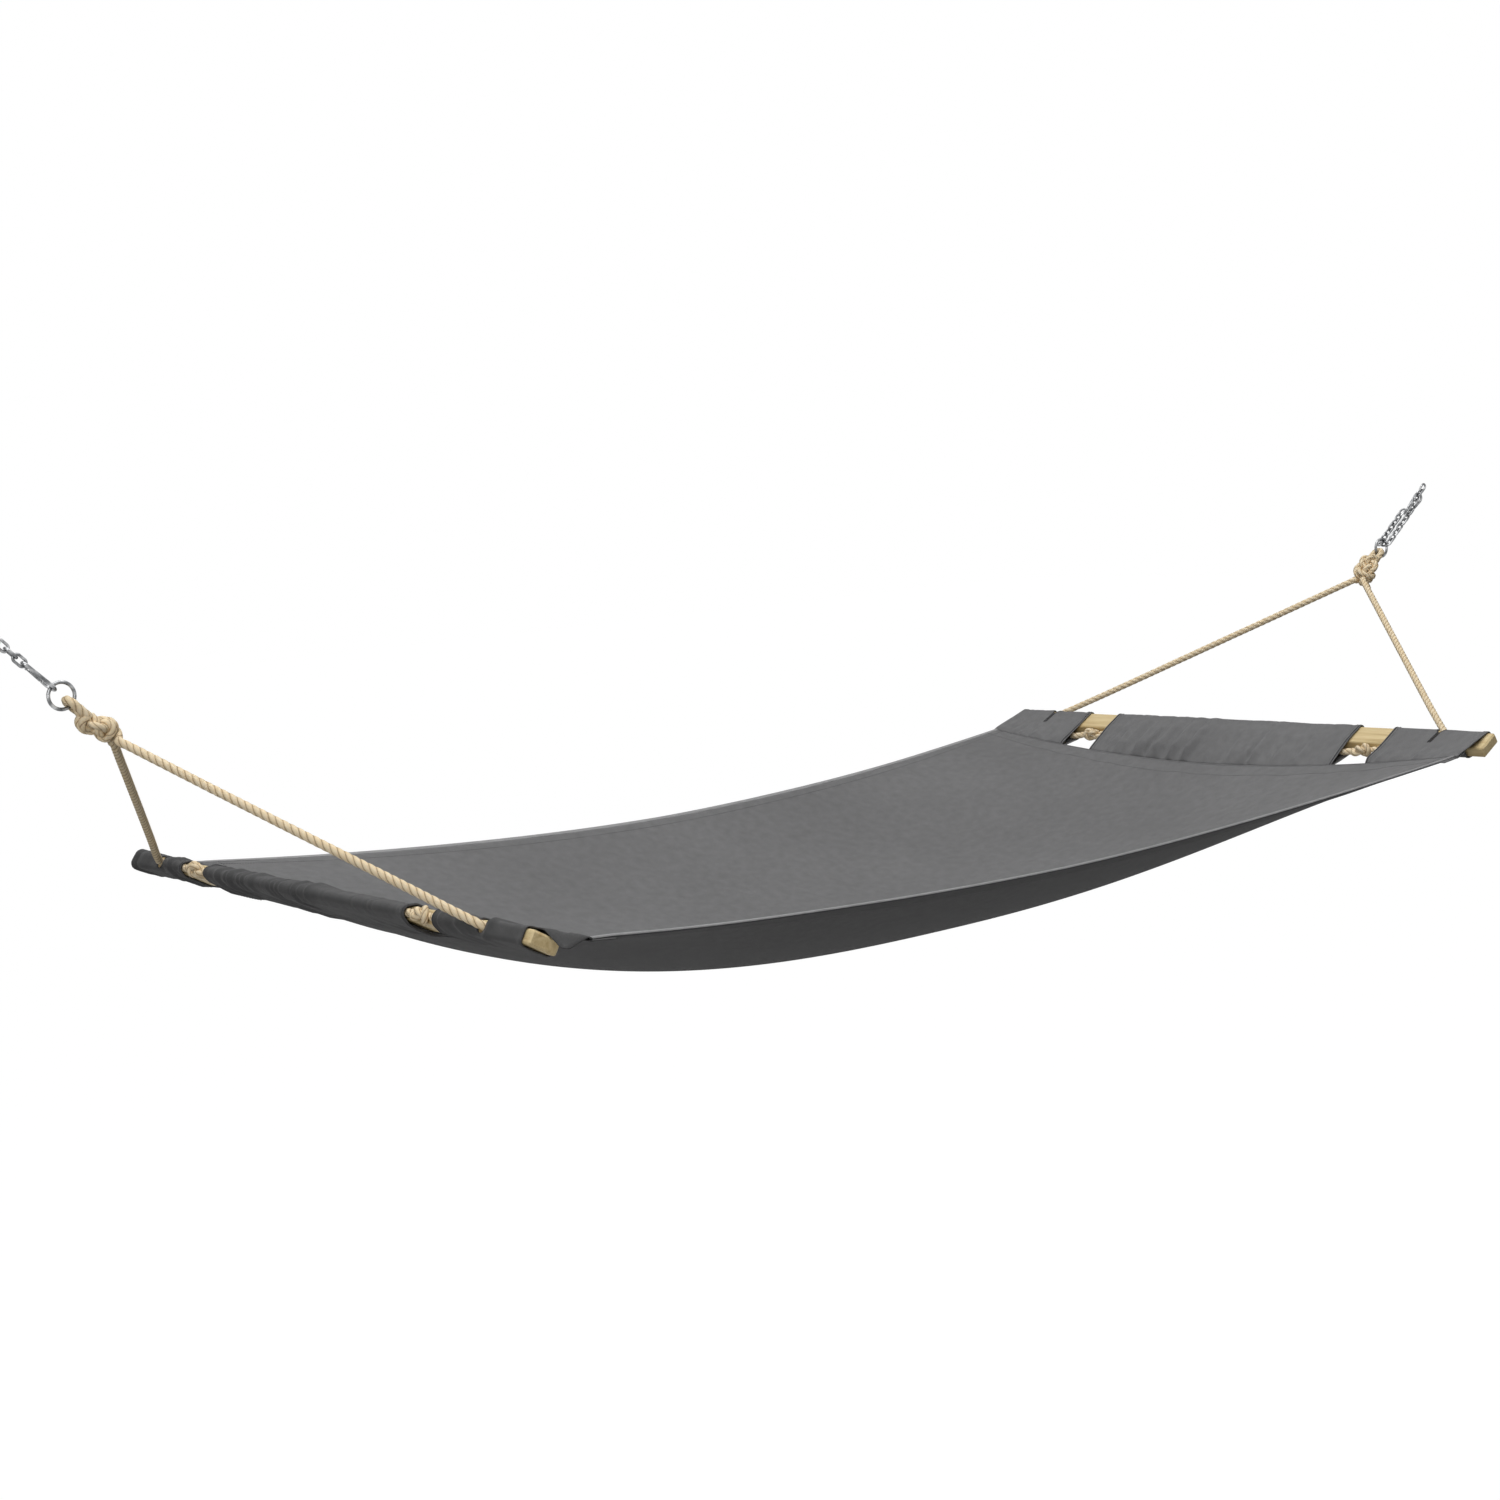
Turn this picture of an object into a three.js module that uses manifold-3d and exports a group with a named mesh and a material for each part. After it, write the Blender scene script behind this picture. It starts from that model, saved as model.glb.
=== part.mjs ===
import * as THREE from 'three';
import { mergeVertices } from 'three/addons/utils/BufferGeometryUtils.js';
import Module from 'manifold-3d';

// A canvas spreader-bar hammock, hung by two short chains.
// Millimetres, +X from the left end to the right end, +Y to the far side, +Z up.
// The origin lies over the middle of the bed, on the line that the hammock swings about.
// That line joins the two points where the chains hang in their end links.

const wasm = await Module();
wasm.setup();

const degree = Math.PI / 180;

// Spreader bars: wood, with the wide side turned up towards the rope's pull
const barCentreSpan = 1914;
const barDrop = 414;
const barLength = 1110;
const barWidth = 45;
const barThickness = 20;
const barEdgeRadius = 4;
const barEndRound = 3;
const barTilt = 30 * degree;
const barSlip = 7;
const ropeHoleRadius = 8;
const ropeHoleInset = 92.5;
const ropeHoleSpacing = 45;
const ropeTurnRadius = 7.5;
const ropeExitRadius = 14;

// Canvas bed and the sleeves sewn round the bars
const sleeveEndInset = 5;
const clothThickness = 1.6;
const sleeveWall = 1.8;
const sleeveClearance = 0.6;
const seamGap = 0.3;
const seamInset = 77;
const seamTipHalfHeight = 0.7;
const sharpestShare = 0.6;
const windowStart = 187.7;
const windowEnd = 260.5;
const edgeSag = 62.8;
const middleSag = 220.6;
const edgeInset = 44.1;
const bedTopDrop = 414.1;
const bedRunOut = 14.7;
const edgeCurveShare = 1.74;
const middleCurveShare = 2.61;
const troughCurveShare = 1.87;
const hemWidth = 22;
const hemThickness = 1.5;
const hemGap = 0.3;
const slitWidth = 2.4;
const slitReach = 36;

// Rope bridles
const ropeRadius = 6;
const ropeGap = 0.4;
const bridleRise = 256.5;
const leftBridleReach = 261.3;
const rightBridleReach = 394.3;
const leftRunTurn = 35 * degree;
const windowKnotRadius = 8.6;
const windowKnotLength = 46;

// Knot, eye and ring, as distances along each hanging line from where the two legs cross
const knotLength = 52;
const knotWidth = 39;
const knotDepth = 35;
const knotStart = 7;
const knotFit = 0.35;
const ringDistance = 85;
const ringRadius = 17.5;
const ringWire = 2.5;
const eyeGap = 0.3;
const contactGap = 0.4;

// Chain: short links of round wire
const linkWire = 2;
const linkPitch = 15.2;
const linkOuterWidth = 14.4;
const leftLinkCount = 6;
const returnLinkCount = 7;
const clipLinkNumber = 11;
const rightLinkCount = 12;

// Snap hooks: pear-shaped, of round wire, with a sprung gate
const hookLength = 59;
const hookWire = 2.5;
const hookWideWidth = 24;
const hookNarrowWidth = 15;
const hookNoseLength = 7;
const hookHeelLength = 6;
const gateGap = 0.5;
const gatePinRadius = 0.8;
const gatePinBore = 1.15;
const gatePinLength = 5.4;
const gateTongue = 1.6;
const gateSlot = 2.4;
const gateSlotLength = 5.5;
const gateTongueLength = 4.5;

const cutOverrun = 4;

// Facet counts
const bedLengthSteps = 32;
const bedWidthSteps = 14;
const wireSides = 7;
const linkTurns = 12;
const turnSteps = 3;
const leftRunSteps = 3;
const ropeSides = 8;
const ringTurns = 24;
const hookSides = 8;
const sleeveSteps = 8;
const eyeSteps = 8;
const wideSteps = 9;
const narrowSteps = 7;
const legSteps = 24;
const edgeSteps = 3;
const holeSides = 12;
const pinSides = 10;
const windowKnotSides = 10;
const windowKnotRings = 8;
const knotSides = 16;
const knotRings = 12;

// Hand-chosen route of each leg's centre line, from the bar's hole to the knot, near side.
// The far side is its mirror image.
const routeHoleY = 457.5; // the hole place that the legs' routes were drawn for
const leftLegRoute = [
  [-983.4, -451.4, -395.9], [-998.9, -424.6, -381.7], [-1014.5, -395.5, -366.4],
  [-1030.6, -365.6, -350.8], [-1047, -335.6, -335.1], [-1063.4, -305.6, -319.5],
  [-1079.8, -275.7, -303.9], [-1096.2, -245.8, -288.3], [-1112.6, -216, -272.7],
  [-1129, -186.2, -257], [-1145.4, -156.4, -241.4], [-1161.8, -126.6, -225.7],
  [-1178.2, -97, -209.9], [-1194.4, -67.8, -194.3], [-1209.8, -39.6, -179.4],
  [-1219.4, -22, -170.1], [-1224.8, -15.8, -166], [-1230.8, -9, -160.1],
  [-1238.3, -6.5, -152.6],
];
const rightLegRoute = [
  [985.4, -449.4, -396.4], [1006.4, -423.8, -383.6], [1030.6, -394.6, -368.6],
  [1054.9, -365.8, -353.4], [1079.2, -337.1, -338.1], [1103.6, -308.5, -322.8],
  [1128, -279.8, -307.4], [1152.4, -251.2, -292.1], [1176.8, -222.5, -276.7],
  [1201.2, -193.8, -261.3], [1225.6, -165.1, -246], [1250, -136.4, -230.6],
  [1274.4, -107.7, -215.2], [1298.8, -79, -199.8], [1323, -50.5, -184.6],
  [1345.2, -24.4, -170.6], [1354.5, -13.5, -164.8], [1361, -8.3, -160.4],
  [1368.4, -6.5, -154.9],
];

// Derived places
const barHalfSpan = barCentreSpan / 2;
const sleeveHalf = barLength / 2 - sleeveEndInset;
const bedSpan = barHalfSpan + bedRunOut;
const seamX = barHalfSpan - seamInset;
const holeY = sleeveHalf - ropeHoleInset;
const routeSpread = holeY / routeHoleY;
const innerHoleY = holeY - ropeHoleSpacing;
const sectionEnd = sleeveHalf - windowStart;
const middleEnd = sleeveHalf - windowEnd;
const apexZ = bridleRise - barDrop;

function canvas(color) {
  return new THREE.MeshStandardMaterial({ color, roughness: 0.9, metalness: 0 });
}

function wood() {
  return new THREE.MeshStandardMaterial({ color: 0xd6c193, roughness: 0.6, metalness: 0 });
}

function rope() {
  return new THREE.MeshStandardMaterial({ color: 0xd3b98d, roughness: 0.85, metalness: 0 });
}

function steel() {
  return new THREE.MeshStandardMaterial({ color: 0xb4b8bc, roughness: 0.3, metalness: 1 });
}

const hammock = new THREE.Group();

function addPiece(name, geometry, material) {
  const mesh = new THREE.Mesh(geometry, material);
  mesh.name = name;
  hammock.add(mesh);
}

// Booleans work on closed meshes that hold nothing but positions
function solidOf(geometry) {
  const bare = geometry.clone();
  bare.deleteAttribute('normal');
  bare.deleteAttribute('uv');
  const merged = mergeVertices(bare, 1e-4);
  return new wasm.Manifold(new wasm.Mesh({
    numProp: 3,
    vertProperties: new Float32Array(merged.attributes.position.array),
    triVerts: new Uint32Array(merged.index.array),
  }));
}

function geometryOf(solid) {
  const mesh = solid.getMesh();
  const geometry = new THREE.BufferGeometry();
  geometry.setAttribute('position', new THREE.BufferAttribute(new Float32Array(mesh.vertProperties), 3));
  geometry.setIndex(new THREE.BufferAttribute(new Uint32Array(mesh.triVerts), 1));
  geometry.computeVertexNormals();
  return geometry;
}

function cutFrom(geometry, tools) {
  let solid = solidOf(geometry);
  for (const tool of tools) {
    solid = solid.subtract(solidOf(tool));
  }
  return geometryOf(solid);
}

function joined(geometries) {
  let solid = solidOf(geometries[0]);
  for (const geometry of geometries.slice(1)) {
    solid = solid.add(solidOf(geometry));
  }
  return geometryOf(solid);
}

function evenly(from, to, count) {
  return Array.from({ length: count + 1 }, (_, i) => from + (to - from) * i / count);
}

function roundOutline(radius, sides) {
  const points = [];
  for (let i = 0; i < sides; i += 1) {
    const angle = (i + 0.5) * 2 * Math.PI / sides;
    points.push(new THREE.Vector2(radius * Math.cos(angle), radius * Math.sin(angle)));
  }
  return new THREE.Shape(points);
}

function tubeAlong(points, radius, sides, steps) {
  const path = new THREE.CatmullRomCurve3(points, false, 'centripetal');
  const outline = roundOutline(radius, sides);
  return new THREE.ExtrudeGeometry(outline, { steps, extrudePath: path, bevelEnabled: false });
}

// A tube through exactly the given points, one ring of corners at each
function bentWire(points, radius, sides, planeNormal) {
  const rings = points.map((point, i) => {
    const before = points[Math.max(i - 1, 0)];
    const after = points[Math.min(i + 1, points.length - 1)];
    const along = after.clone().sub(before).normalize();
    const across = new THREE.Vector3().crossVectors(planeNormal, along).normalize();
    const third = new THREE.Vector3().crossVectors(along, across);
    const ring = [];
    for (let k = 0; k < sides; k += 1) {
      const angle = (k + 0.5) * 2 * Math.PI / sides;
      const offset = across.clone().multiplyScalar(radius * Math.cos(angle));
      offset.addScaledVector(third, radius * Math.sin(angle));
      ring.push(point.clone().add(offset));
    }
    return ring;
  });
  return loft(rings);
}

// A closed body through a row of closed rings, each with its corners in the same order
function loft(rings) {
  const count = rings[0].length;
  const positions = rings.flat().flatMap((point) => [point.x, point.y, point.z]);
  const faces = [];
  for (let i = 0; i + 1 < rings.length; i += 1) {
    for (let k = 0; k < count; k += 1) {
      const next = (k + 1) % count;
      faces.push(i * count + k, i * count + next, (i + 1) * count + next);
      faces.push(i * count + k, (i + 1) * count + next, (i + 1) * count + k);
    }
  }
  const last = (rings.length - 1) * count;
  for (let k = 1; k + 1 < count; k += 1) {
    faces.push(0, k + 1, k);
    faces.push(last, last + k, last + k + 1);
  }
  return facingOut(positions, faces);
}

// A tube wall between a row of outer rings and a row of inner rings, open at both ends
function sleeveBody(outer, inner) {
  const count = outer[0].length;
  const rows = outer.length;
  const positions = [...outer.flat(), ...inner.flat()].flatMap((point) => [point.x, point.y, point.z]);
  const innerStart = rows * count;
  const faces = [];
  for (let i = 0; i + 1 < rows; i += 1) {
    for (let k = 0; k < count; k += 1) {
      const next = (k + 1) % count;
      const corners = [i * count + k, i * count + next, (i + 1) * count + next, (i + 1) * count + k];
      faces.push(corners[0], corners[1], corners[2], corners[0], corners[2], corners[3]);
      const back = corners.map((corner) => corner + innerStart);
      faces.push(back[0], back[2], back[1], back[0], back[3], back[2]);
    }
  }
  const last = (rows - 1) * count;
  for (let k = 0; k < count; k += 1) {
    const next = (k + 1) % count;
    faces.push(k, innerStart + next, next, k, innerStart + k, innerStart + next);
    faces.push(last + k, last + next, innerStart + last + next);
    faces.push(last + k, innerStart + last + next, innerStart + last + k);
  }
  return facingOut(positions, faces);
}

function facingOut(positions, faces) {
  const geometry = new THREE.BufferGeometry();
  geometry.setAttribute('position', new THREE.BufferAttribute(new Float32Array(positions), 3));
  let volume = 0;
  const corner = (index) => new THREE.Vector3().fromArray(positions, index * 3);
  for (let i = 0; i < faces.length; i += 3) {
    volume += corner(faces[i]).dot(corner(faces[i + 1]).cross(corner(faces[i + 2])));
  }
  const order = volume > 0 ? faces : faces.slice().reverse();
  geometry.setIndex(order);
  geometry.computeVertexNormals();
  return geometry;
}

// A thin sheet between an upper and a lower grid of points, cut into triangles alike
function sheetBody(upper, lower) {
  const rows = upper.length;
  const count = upper[0].length;
  const start = rows * count;
  const positions = [...upper.flat(), ...lower.flat()].flatMap((point) => [point.x, point.y, point.z]);
  const faces = [];
  const wall = (a, b) => faces.push(a, start + b, b, a, start + a, start + b);
  for (let i = 0; i + 1 < rows; i += 1) {
    for (let k = 0; k + 1 < count; k += 1) {
      const corners = [i * count + k, i * count + k + 1, (i + 1) * count + k + 1, (i + 1) * count + k];
      faces.push(corners[0], corners[1], corners[2], corners[0], corners[2], corners[3]);
      const back = corners.map((corner) => corner + start);
      faces.push(back[0], back[2], back[1], back[0], back[3], back[2]);
    }
    wall((i + 1) * count, i * count);
    wall(i * count + count - 1, (i + 1) * count + count - 1);
  }
  for (let k = 0; k + 1 < count; k += 1) {
    wall(k, k + 1);
    wall((rows - 1) * count + k + 1, (rows - 1) * count + k);
  }
  return facingOut(positions, faces);
}

// Places on a bar: y along it, a towards its outer edge, b towards its upper face
function onBar(side, y, a, b) {
  const x = barHalfSpan + a * Math.cos(barTilt) - b * Math.sin(barTilt);
  const z = a * Math.sin(barTilt) + b * Math.cos(barTilt) - barDrop;
  return new THREE.Vector3(side * x, y, z);
}

function spreaderBar(side, holePlaces) {
  const outline = new THREE.Shape();
  const halfWidth = barWidth / 2;
  const halfThickness = barThickness / 2;
  const r = barEdgeRadius;
  outline.moveTo(-halfWidth + r, -halfThickness);
  outline.lineTo(halfWidth - r, -halfThickness);
  outline.absarc(halfWidth - r, -halfThickness + r, r, -Math.PI / 2, 0, false);
  outline.lineTo(halfWidth, halfThickness - r);
  outline.absarc(halfWidth - r, halfThickness - r, r, 0, Math.PI / 2, false);
  outline.lineTo(-halfWidth + r, halfThickness);
  outline.absarc(-halfWidth + r, halfThickness - r, r, Math.PI / 2, Math.PI, false);
  outline.lineTo(-halfWidth, -halfThickness + r);
  outline.absarc(-halfWidth + r, -halfThickness + r, r, Math.PI, 1.5 * Math.PI, false);
  const bar = new THREE.ExtrudeGeometry(outline, {
    depth: barLength - 2 * barEndRound,
    curveSegments: edgeSteps,
    bevelSize: barEndRound,
    bevelThickness: barEndRound,
    bevelOffset: -barEndRound,
    bevelSegments: 1,
  });
  bar.translate(0, 0, -barLength / 2 + barEndRound);
  const holes = holePlaces.flatMap((y) => [y, -y]).map((y) => {
    const hole = new THREE.CylinderGeometry(ropeHoleRadius, ropeHoleRadius, barWidth + cutOverrun, holeSides);
    hole.rotateZ(Math.PI / 2);
    hole.translate(0, 0, y + barSlip);
    return hole;
  });
  const drilled = cutFrom(bar, holes);
  const outwards = onBar(side, 0, 1, 0).sub(onBar(side, 0, 0, 0));
  const lengthwise = new THREE.Vector3(0, 1, 0);
  const third = new THREE.Vector3().crossVectors(lengthwise, outwards);
  const frame = new THREE.Matrix4().makeBasis(outwards, third, lengthwise);
  frame.setPosition(onBar(side, -barSlip, 0, 0));
  return drilled.applyMatrix4(frame);
}

// The bed's middle surface: a trough that hangs lowest in the middle of its length and width
function bedHalfWidth(x) {
  const share = Math.abs(x) / bedSpan;
  return sleeveHalf - edgeInset * (1 - share ** edgeCurveShare);
}

function bedHeight(x, y) {
  const share = Math.abs(x) / bedSpan;
  const across = Math.min(Math.abs(y) / bedHalfWidth(x), 1) ** troughCurveShare;
  const edge = edgeSag * (1 - share ** edgeCurveShare) * across;
  const middle = middleSag * (1 - share ** middleCurveShare) * (1 - across);
  return -bedTopDrop - edge - middle;
}

function bedPoint(x, y, lift) {
  return new THREE.Vector3(x, y, bedHeight(x, y) + lift);
}

function sheetOnBed(xs, ys, upper, lower) {
  const grid = (lift) => xs.map((x) => ys(x).map((y) => bedPoint(x, y, lift)));
  return sheetBody(grid(upper), grid(lower));
}

const bedEnd = seamX - seamGap;
const lengthStations = evenly(-bedEnd, bedEnd, bedLengthSteps);

// Rows across the bed, with the outermost pair on either side of the hem
function bedRows(x) {
  const half = bedHalfWidth(x);
  return [-half, ...evenly(hemWidth - half, half - hemWidth, bedWidthSteps), half];
}

addPiece(
  'bed_cloth',
  sheetOnBed(lengthStations, bedRows, clothThickness / 2, -clothThickness / 2),
  canvas(0x6d6d6d),
);

// Turned-under hems along the two long edges
const hemTop = -clothThickness / 2 - hemGap;
const hemRows = {
  near: (x) => bedRows(x).slice(0, 2),
  far: (x) => bedRows(x).slice(-2),
};
for (const [name, rows] of Object.entries(hemRows)) {
  const hem = sheetOnBed(lengthStations, rows, hemTop, hemTop - hemThickness);
  addPiece(`${name}_side_hem`, hem, canvas(0x3c3c3c));
}

// Sleeve sections: cloth round the bar and the rope beside it, closed at the seam with the bed
function seamOnBar(y) {
  const dx = -seamInset;
  const dz = bedHeight(seamX, Math.min(Math.abs(y), bedHalfWidth(seamX))) + barDrop;
  return new THREE.Vector2(
    dx * Math.cos(barTilt) + dz * Math.sin(barTilt),
    -dx * Math.sin(barTilt) + dz * Math.cos(barTilt),
  );
}

const cornerReach = (barEdgeRadius + sleeveClearance) * Math.SQRT1_2;
const ropeOffset = barWidth / 2 + ropeRadius + ropeGap + sleeveClearance / 2;

// The left rope winds from the inner hole's mouth onto the bar's outer upper corner
const runReach = barEdgeRadius + ropeRadius + ropeGap + sleeveClearance;

function leftRunShare(y) {
  return Math.min(Math.max((innerHoleY - Math.abs(y)) / (innerHoleY - sectionEnd), 0), 1);
}

function leftRunAt(y) {
  const share = leftRunShare(y);
  return {
    a: barWidth / 2 - barEdgeRadius + runReach * Math.cos(leftRunTurn * share),
    b: (barThickness / 2 - barEdgeRadius) * share + runReach * Math.sin(leftRunTurn * share),
  };
}

// The loop's corners beside the outer edge, bare, or bulged over a rope that lies there.
// The bulge's corners stand round the rope at these angles, in degrees from the outward side.
const bulgeTurns = [110, 70, 25, -20, -60];

function outerCorners(y, bulge) {
  const edge = barWidth / 2;
  const face = barThickness / 2;
  const r = barEdgeRadius;
  const c = sleeveClearance;
  const reach = ropeRadius + ropeGap + sleeveClearance;
  const bare = [
    [edge - r, face + c],
    [edge - r + cornerReach, face - r + cornerReach],
    [edge + c, face - r],
    [edge + c, 0],
    [edge + c, r - face],
    [edge - r + cornerReach, r - face - cornerReach],
    [edge - r, -face - c],
  ];
  const place = leftRunAt(y);
  const bulged = bulgeTurns.map((turn) => [
    place.a + reach * Math.cos(turn * degree),
    place.b + reach * Math.sin(turn * degree),
  ]);
  const lifted = leftRunShare(y);
  const top = bulged[0].map((value, i) => bare[0][i] + (value - bare[0][i]) * lifted);
  const full = [top, ...bulged.slice(1), bare[5], bare[6]];
  return bare.map(([a, b], i) => new THREE.Vector2(
    a + (full[i][0] - a) * bulge,
    b + (full[i][1] - b) * bulge,
  ));
}

function innerLoop(y, bulge) {
  const seam = seamOnBar(y);
  const edge = barWidth / 2;
  const face = barThickness / 2;
  const reach = ropeRadius + ropeGap + 2 * sleeveClearance;
  const upperStart = new THREE.Vector2(barEdgeRadius - edge, face + sleeveClearance);
  const lowerStart = new THREE.Vector2(barEdgeRadius - edge, -face - sleeveClearance);
  const ropeUnder = new THREE.Vector2(-ropeOffset, -reach);
  const ropeBehind = new THREE.Vector2(-ropeOffset - reach * Math.SQRT1_2, -reach * Math.SQRT1_2);
  const inwards = upperStart.clone().add(lowerStart).multiplyScalar(0.5).sub(seam).normalize();
  const tip = seam.clone().addScaledVector(inwards, sleeveWall + sleeveClearance);
  const across = new THREE.Vector2(-inwards.y, inwards.x).multiplyScalar(seamTipHalfHeight);
  return [
    tip.clone().add(across), upperStart, ...outerCorners(y, bulge), lowerStart, ropeUnder, ropeBehind,
    tip.clone().sub(across),
  ];
}

// Moves each corner of a clockwise loop outwards by the wall, along the bisector at the corner
function grownLoop(loop, wall) {
  return loop.map((corner, i) => {
    const before = loop[(i + loop.length - 1) % loop.length];
    const after = loop[(i + 1) % loop.length];
    const first = corner.clone().sub(before).normalize();
    const second = after.clone().sub(corner).normalize();
    const normal = new THREE.Vector2(-first.y - second.y, first.x + second.x).normalize();
    const stretch = 1 / Math.max(normal.dot(new THREE.Vector2(-first.y, first.x)), sharpestShare);
    return corner.clone().addScaledVector(normal, wall * stretch);
  });
}

function sleeveSection(side, stations, bulgeAt) {
  const place = (y, loop) => loop.map((corner) => onBar(side, y, corner.x, corner.y));
  const loops = stations.map((y) => innerLoop(y, bulgeAt(y)));
  const inner = stations.map((y, i) => place(y, loops[i]));
  const outer = stations.map((y, i) => place(y, grownLoop(loops[i], sleeveWall)));
  return sleeveBody(outer, inner);
}

// The left sleeves swell from the outer hole to the inner one, where the rope comes back out
const bulgeStart = holeY - ropeHoleRadius;
const bulgeEnd = innerHoleY + ropeHoleRadius;

function bulgeUnderRope(y) {
  return Math.min(Math.max((bulgeStart - Math.abs(y)) / (bulgeStart - bulgeEnd), 0), 1);
}

const outerStations = [
  sleeveHalf, (sleeveHalf + holeY) / 2, holeY, bulgeStart, (bulgeStart + bulgeEnd) / 2, bulgeEnd,
  (bulgeEnd + sectionEnd) / 2, sectionEnd,
];

// The points of a route whose corners are turned with arcs
function roundedRoute(corners, radii) {
  const points = [corners[0]];
  for (let i = 1; i + 1 < corners.length; i += 1) {
    const back = corners[i - 1].clone().sub(corners[i]).normalize();
    const ahead = corners[i + 1].clone().sub(corners[i]).normalize();
    const turn = Math.PI - back.angleTo(ahead);
    const reach = radii[i - 1] * Math.tan(turn / 2);
    const middle = back.clone().add(ahead).normalize();
    const centre = corners[i].clone().addScaledVector(middle, radii[i - 1] / Math.cos(turn / 2));
    const first = corners[i].clone().addScaledVector(back, reach).sub(centre);
    const axis = new THREE.Vector3().crossVectors(back, ahead).normalize().negate();
    for (const angle of evenly(0, turn, turnSteps)) {
      points.push(first.clone().applyAxisAngle(axis, angle).add(centre));
    }
  }
  points.push(corners[corners.length - 1]);
  return points;
}

// Rope runs along each bar, inside its sleeve, with a stopper knot in each window.
// From the leg it goes in through the outer hole. On the left it comes back through the inner one.
function routePoint([x, y, z], mirror) {
  return new THREE.Vector3(x, mirror * y * routeSpread, z);
}

function runCorners(side) {
  const [first, second] = (side < 0 ? leftLegRoute : rightLegRoute)
    .slice(0, 2).map((place) => routePoint(place, 1));
  const pull = second.clone().sub(first).normalize();
  const start = first.clone().addScaledVector(pull, -ropeGap);
  const mouth = start.clone().addScaledVector(pull, -(start.y + holeY) / pull.y);
  const behind = onBar(side, -holeY, -ropeOffset, 0);
  if (side > 0) {
    return [start, mouth, behind];
  }
  const places = evenly(-innerHoleY, -sectionEnd, leftRunSteps).map((y) => {
    const place = leftRunAt(y);
    return onBar(side, y, place.a, place.b);
  });
  return [start, mouth, behind, onBar(side, -innerHoleY, -ropeOffset, 0), ...places];
}

function runPath(side) {
  const half = runCorners(side);
  const rest = half.slice().reverse().map((point) => new THREE.Vector3(point.x, -point.y, point.z));
  const radii = [ropeExitRadius, ...half.slice(2).map(() => ropeTurnRadius)];
  return roundedRoute([...half, ...rest], [...radii, ...radii.slice().reverse()]);
}

function windowKnot(side, y) {
  const knot = new THREE.SphereGeometry(windowKnotRadius, windowKnotSides, windowKnotRings);
  knot.scale(1, windowKnotLength / (2 * windowKnotRadius), 1);
  const swell = windowKnotRadius - ropeRadius;
  const leftPlace = leftRunAt(sectionEnd);
  const centre = side < 0
    ? onBar(side, y, leftPlace.a + swell, leftPlace.b + swell)
    : onBar(side, y, -ropeOffset - swell, 0);
  return knot.translate(centre.x, centre.y, centre.z);
}

function legPoints(route, mirror) {
  return route.map((place) => routePoint(place, mirror));
}

const windowMiddle = sleeveHalf - (windowStart + windowEnd) / 2;
const legRoutes = { left: leftLegRoute, right: rightLegRoute };
const legTubes = {};

for (const [end, side] of [['left', -1], ['right', 1]]) {
  const holePlaces = side < 0 ? [holeY, innerHoleY] : [holeY];
  addPiece(`${end}_spreader_bar`, spreaderBar(side, holePlaces), wood());
  const upwards = onBar(side, 0, 0, 1).sub(onBar(side, 0, 0, 0));
  const run = bentWire(runPath(side), ropeRadius, ropeSides, upwards);
  addPiece(
    `${end}_rope_bar_run`,
    joined([run, windowKnot(side, -windowMiddle), windowKnot(side, windowMiddle)]),
    rope(),
  );
  legTubes[end] = [-1, 1].map((mirror) => {
    const points = legPoints(legRoutes[end], -mirror);
    return {
      name: mirror < 0 ? 'near' : 'far',
      plain: tubeAlong(points, ropeRadius, ropeSides, legSteps),
      cutter: tubeAlong(points, ropeRadius + 2 * sleeveClearance, ropeSides, legSteps),
      knotCutter: tubeAlong(points, ropeRadius + knotFit, ropeSides, legSteps),
    };
  });
  const mouthCorners = runCorners(side).slice(0, 3);
  const mouthCutters = [-1, 1].map((mirror) => bentWire(
    roundedRoute(mouthCorners.map(({ x, y, z }) => new THREE.Vector3(x, -mirror * y, z)), [ropeExitRadius]),
    ropeRadius + 2 * sleeveClearance, ropeSides, upwards,
  ));
  const bulge = side < 0 ? bulgeUnderRope : () => 0;
  for (const [name, mirror] of [['near', -1], ['far', 1]]) {
    const stations = outerStations.map((y) => mirror * y);
    const body = sleeveSection(side, stations, bulge);
    const leg = legTubes[end].find((each) => each.name === name);
    const slit = new THREE.BoxGeometry(slitReach, slitWidth, barThickness);
    slit.rotateY(-side * barTilt);
    const slitAcross = barWidth / 2 - slitReach / 2 + cutOverrun;
    const slitPlace = onBar(side, mirror * holeY, slitAcross, barThickness / 2);
    slit.translate(slitPlace.x, slitPlace.y, slitPlace.z);
    const cutters = [leg.cutter, mouthCutters[mirror < 0 ? 0 : 1], slit];
    addPiece(`${end}_sleeve_${name}`, cutFrom(body, cutters), canvas(0x4a4a4a));
  }
  addPiece(
    `${end}_sleeve_middle`,
    sleeveSection(side, evenly(-middleEnd, middleEnd, sleeveSteps), bulge),
    canvas(0x4a4a4a),
  );
  for (const leg of legTubes[end]) {
    addPiece(`${end}_rope_${leg.name}_leg`, leg.plain, rope());
  }
}

// Hanging lines: from where a bridle's legs cross, straight up to the bearing in the end link
function hangingLine(side, reach, length) {
  const rise = -apexZ;
  const run = Math.sqrt(length ** 2 - rise ** 2);
  const along = new THREE.Vector3(side * run, 0, rise).divideScalar(length);
  const start = new THREE.Vector3(side * (bedSpan + reach), 0, apexZ);
  const across = new THREE.Vector3(0, 1, 0);
  const over = new THREE.Vector3().crossVectors(along, across);
  return { start, along, across, over };
}

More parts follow.
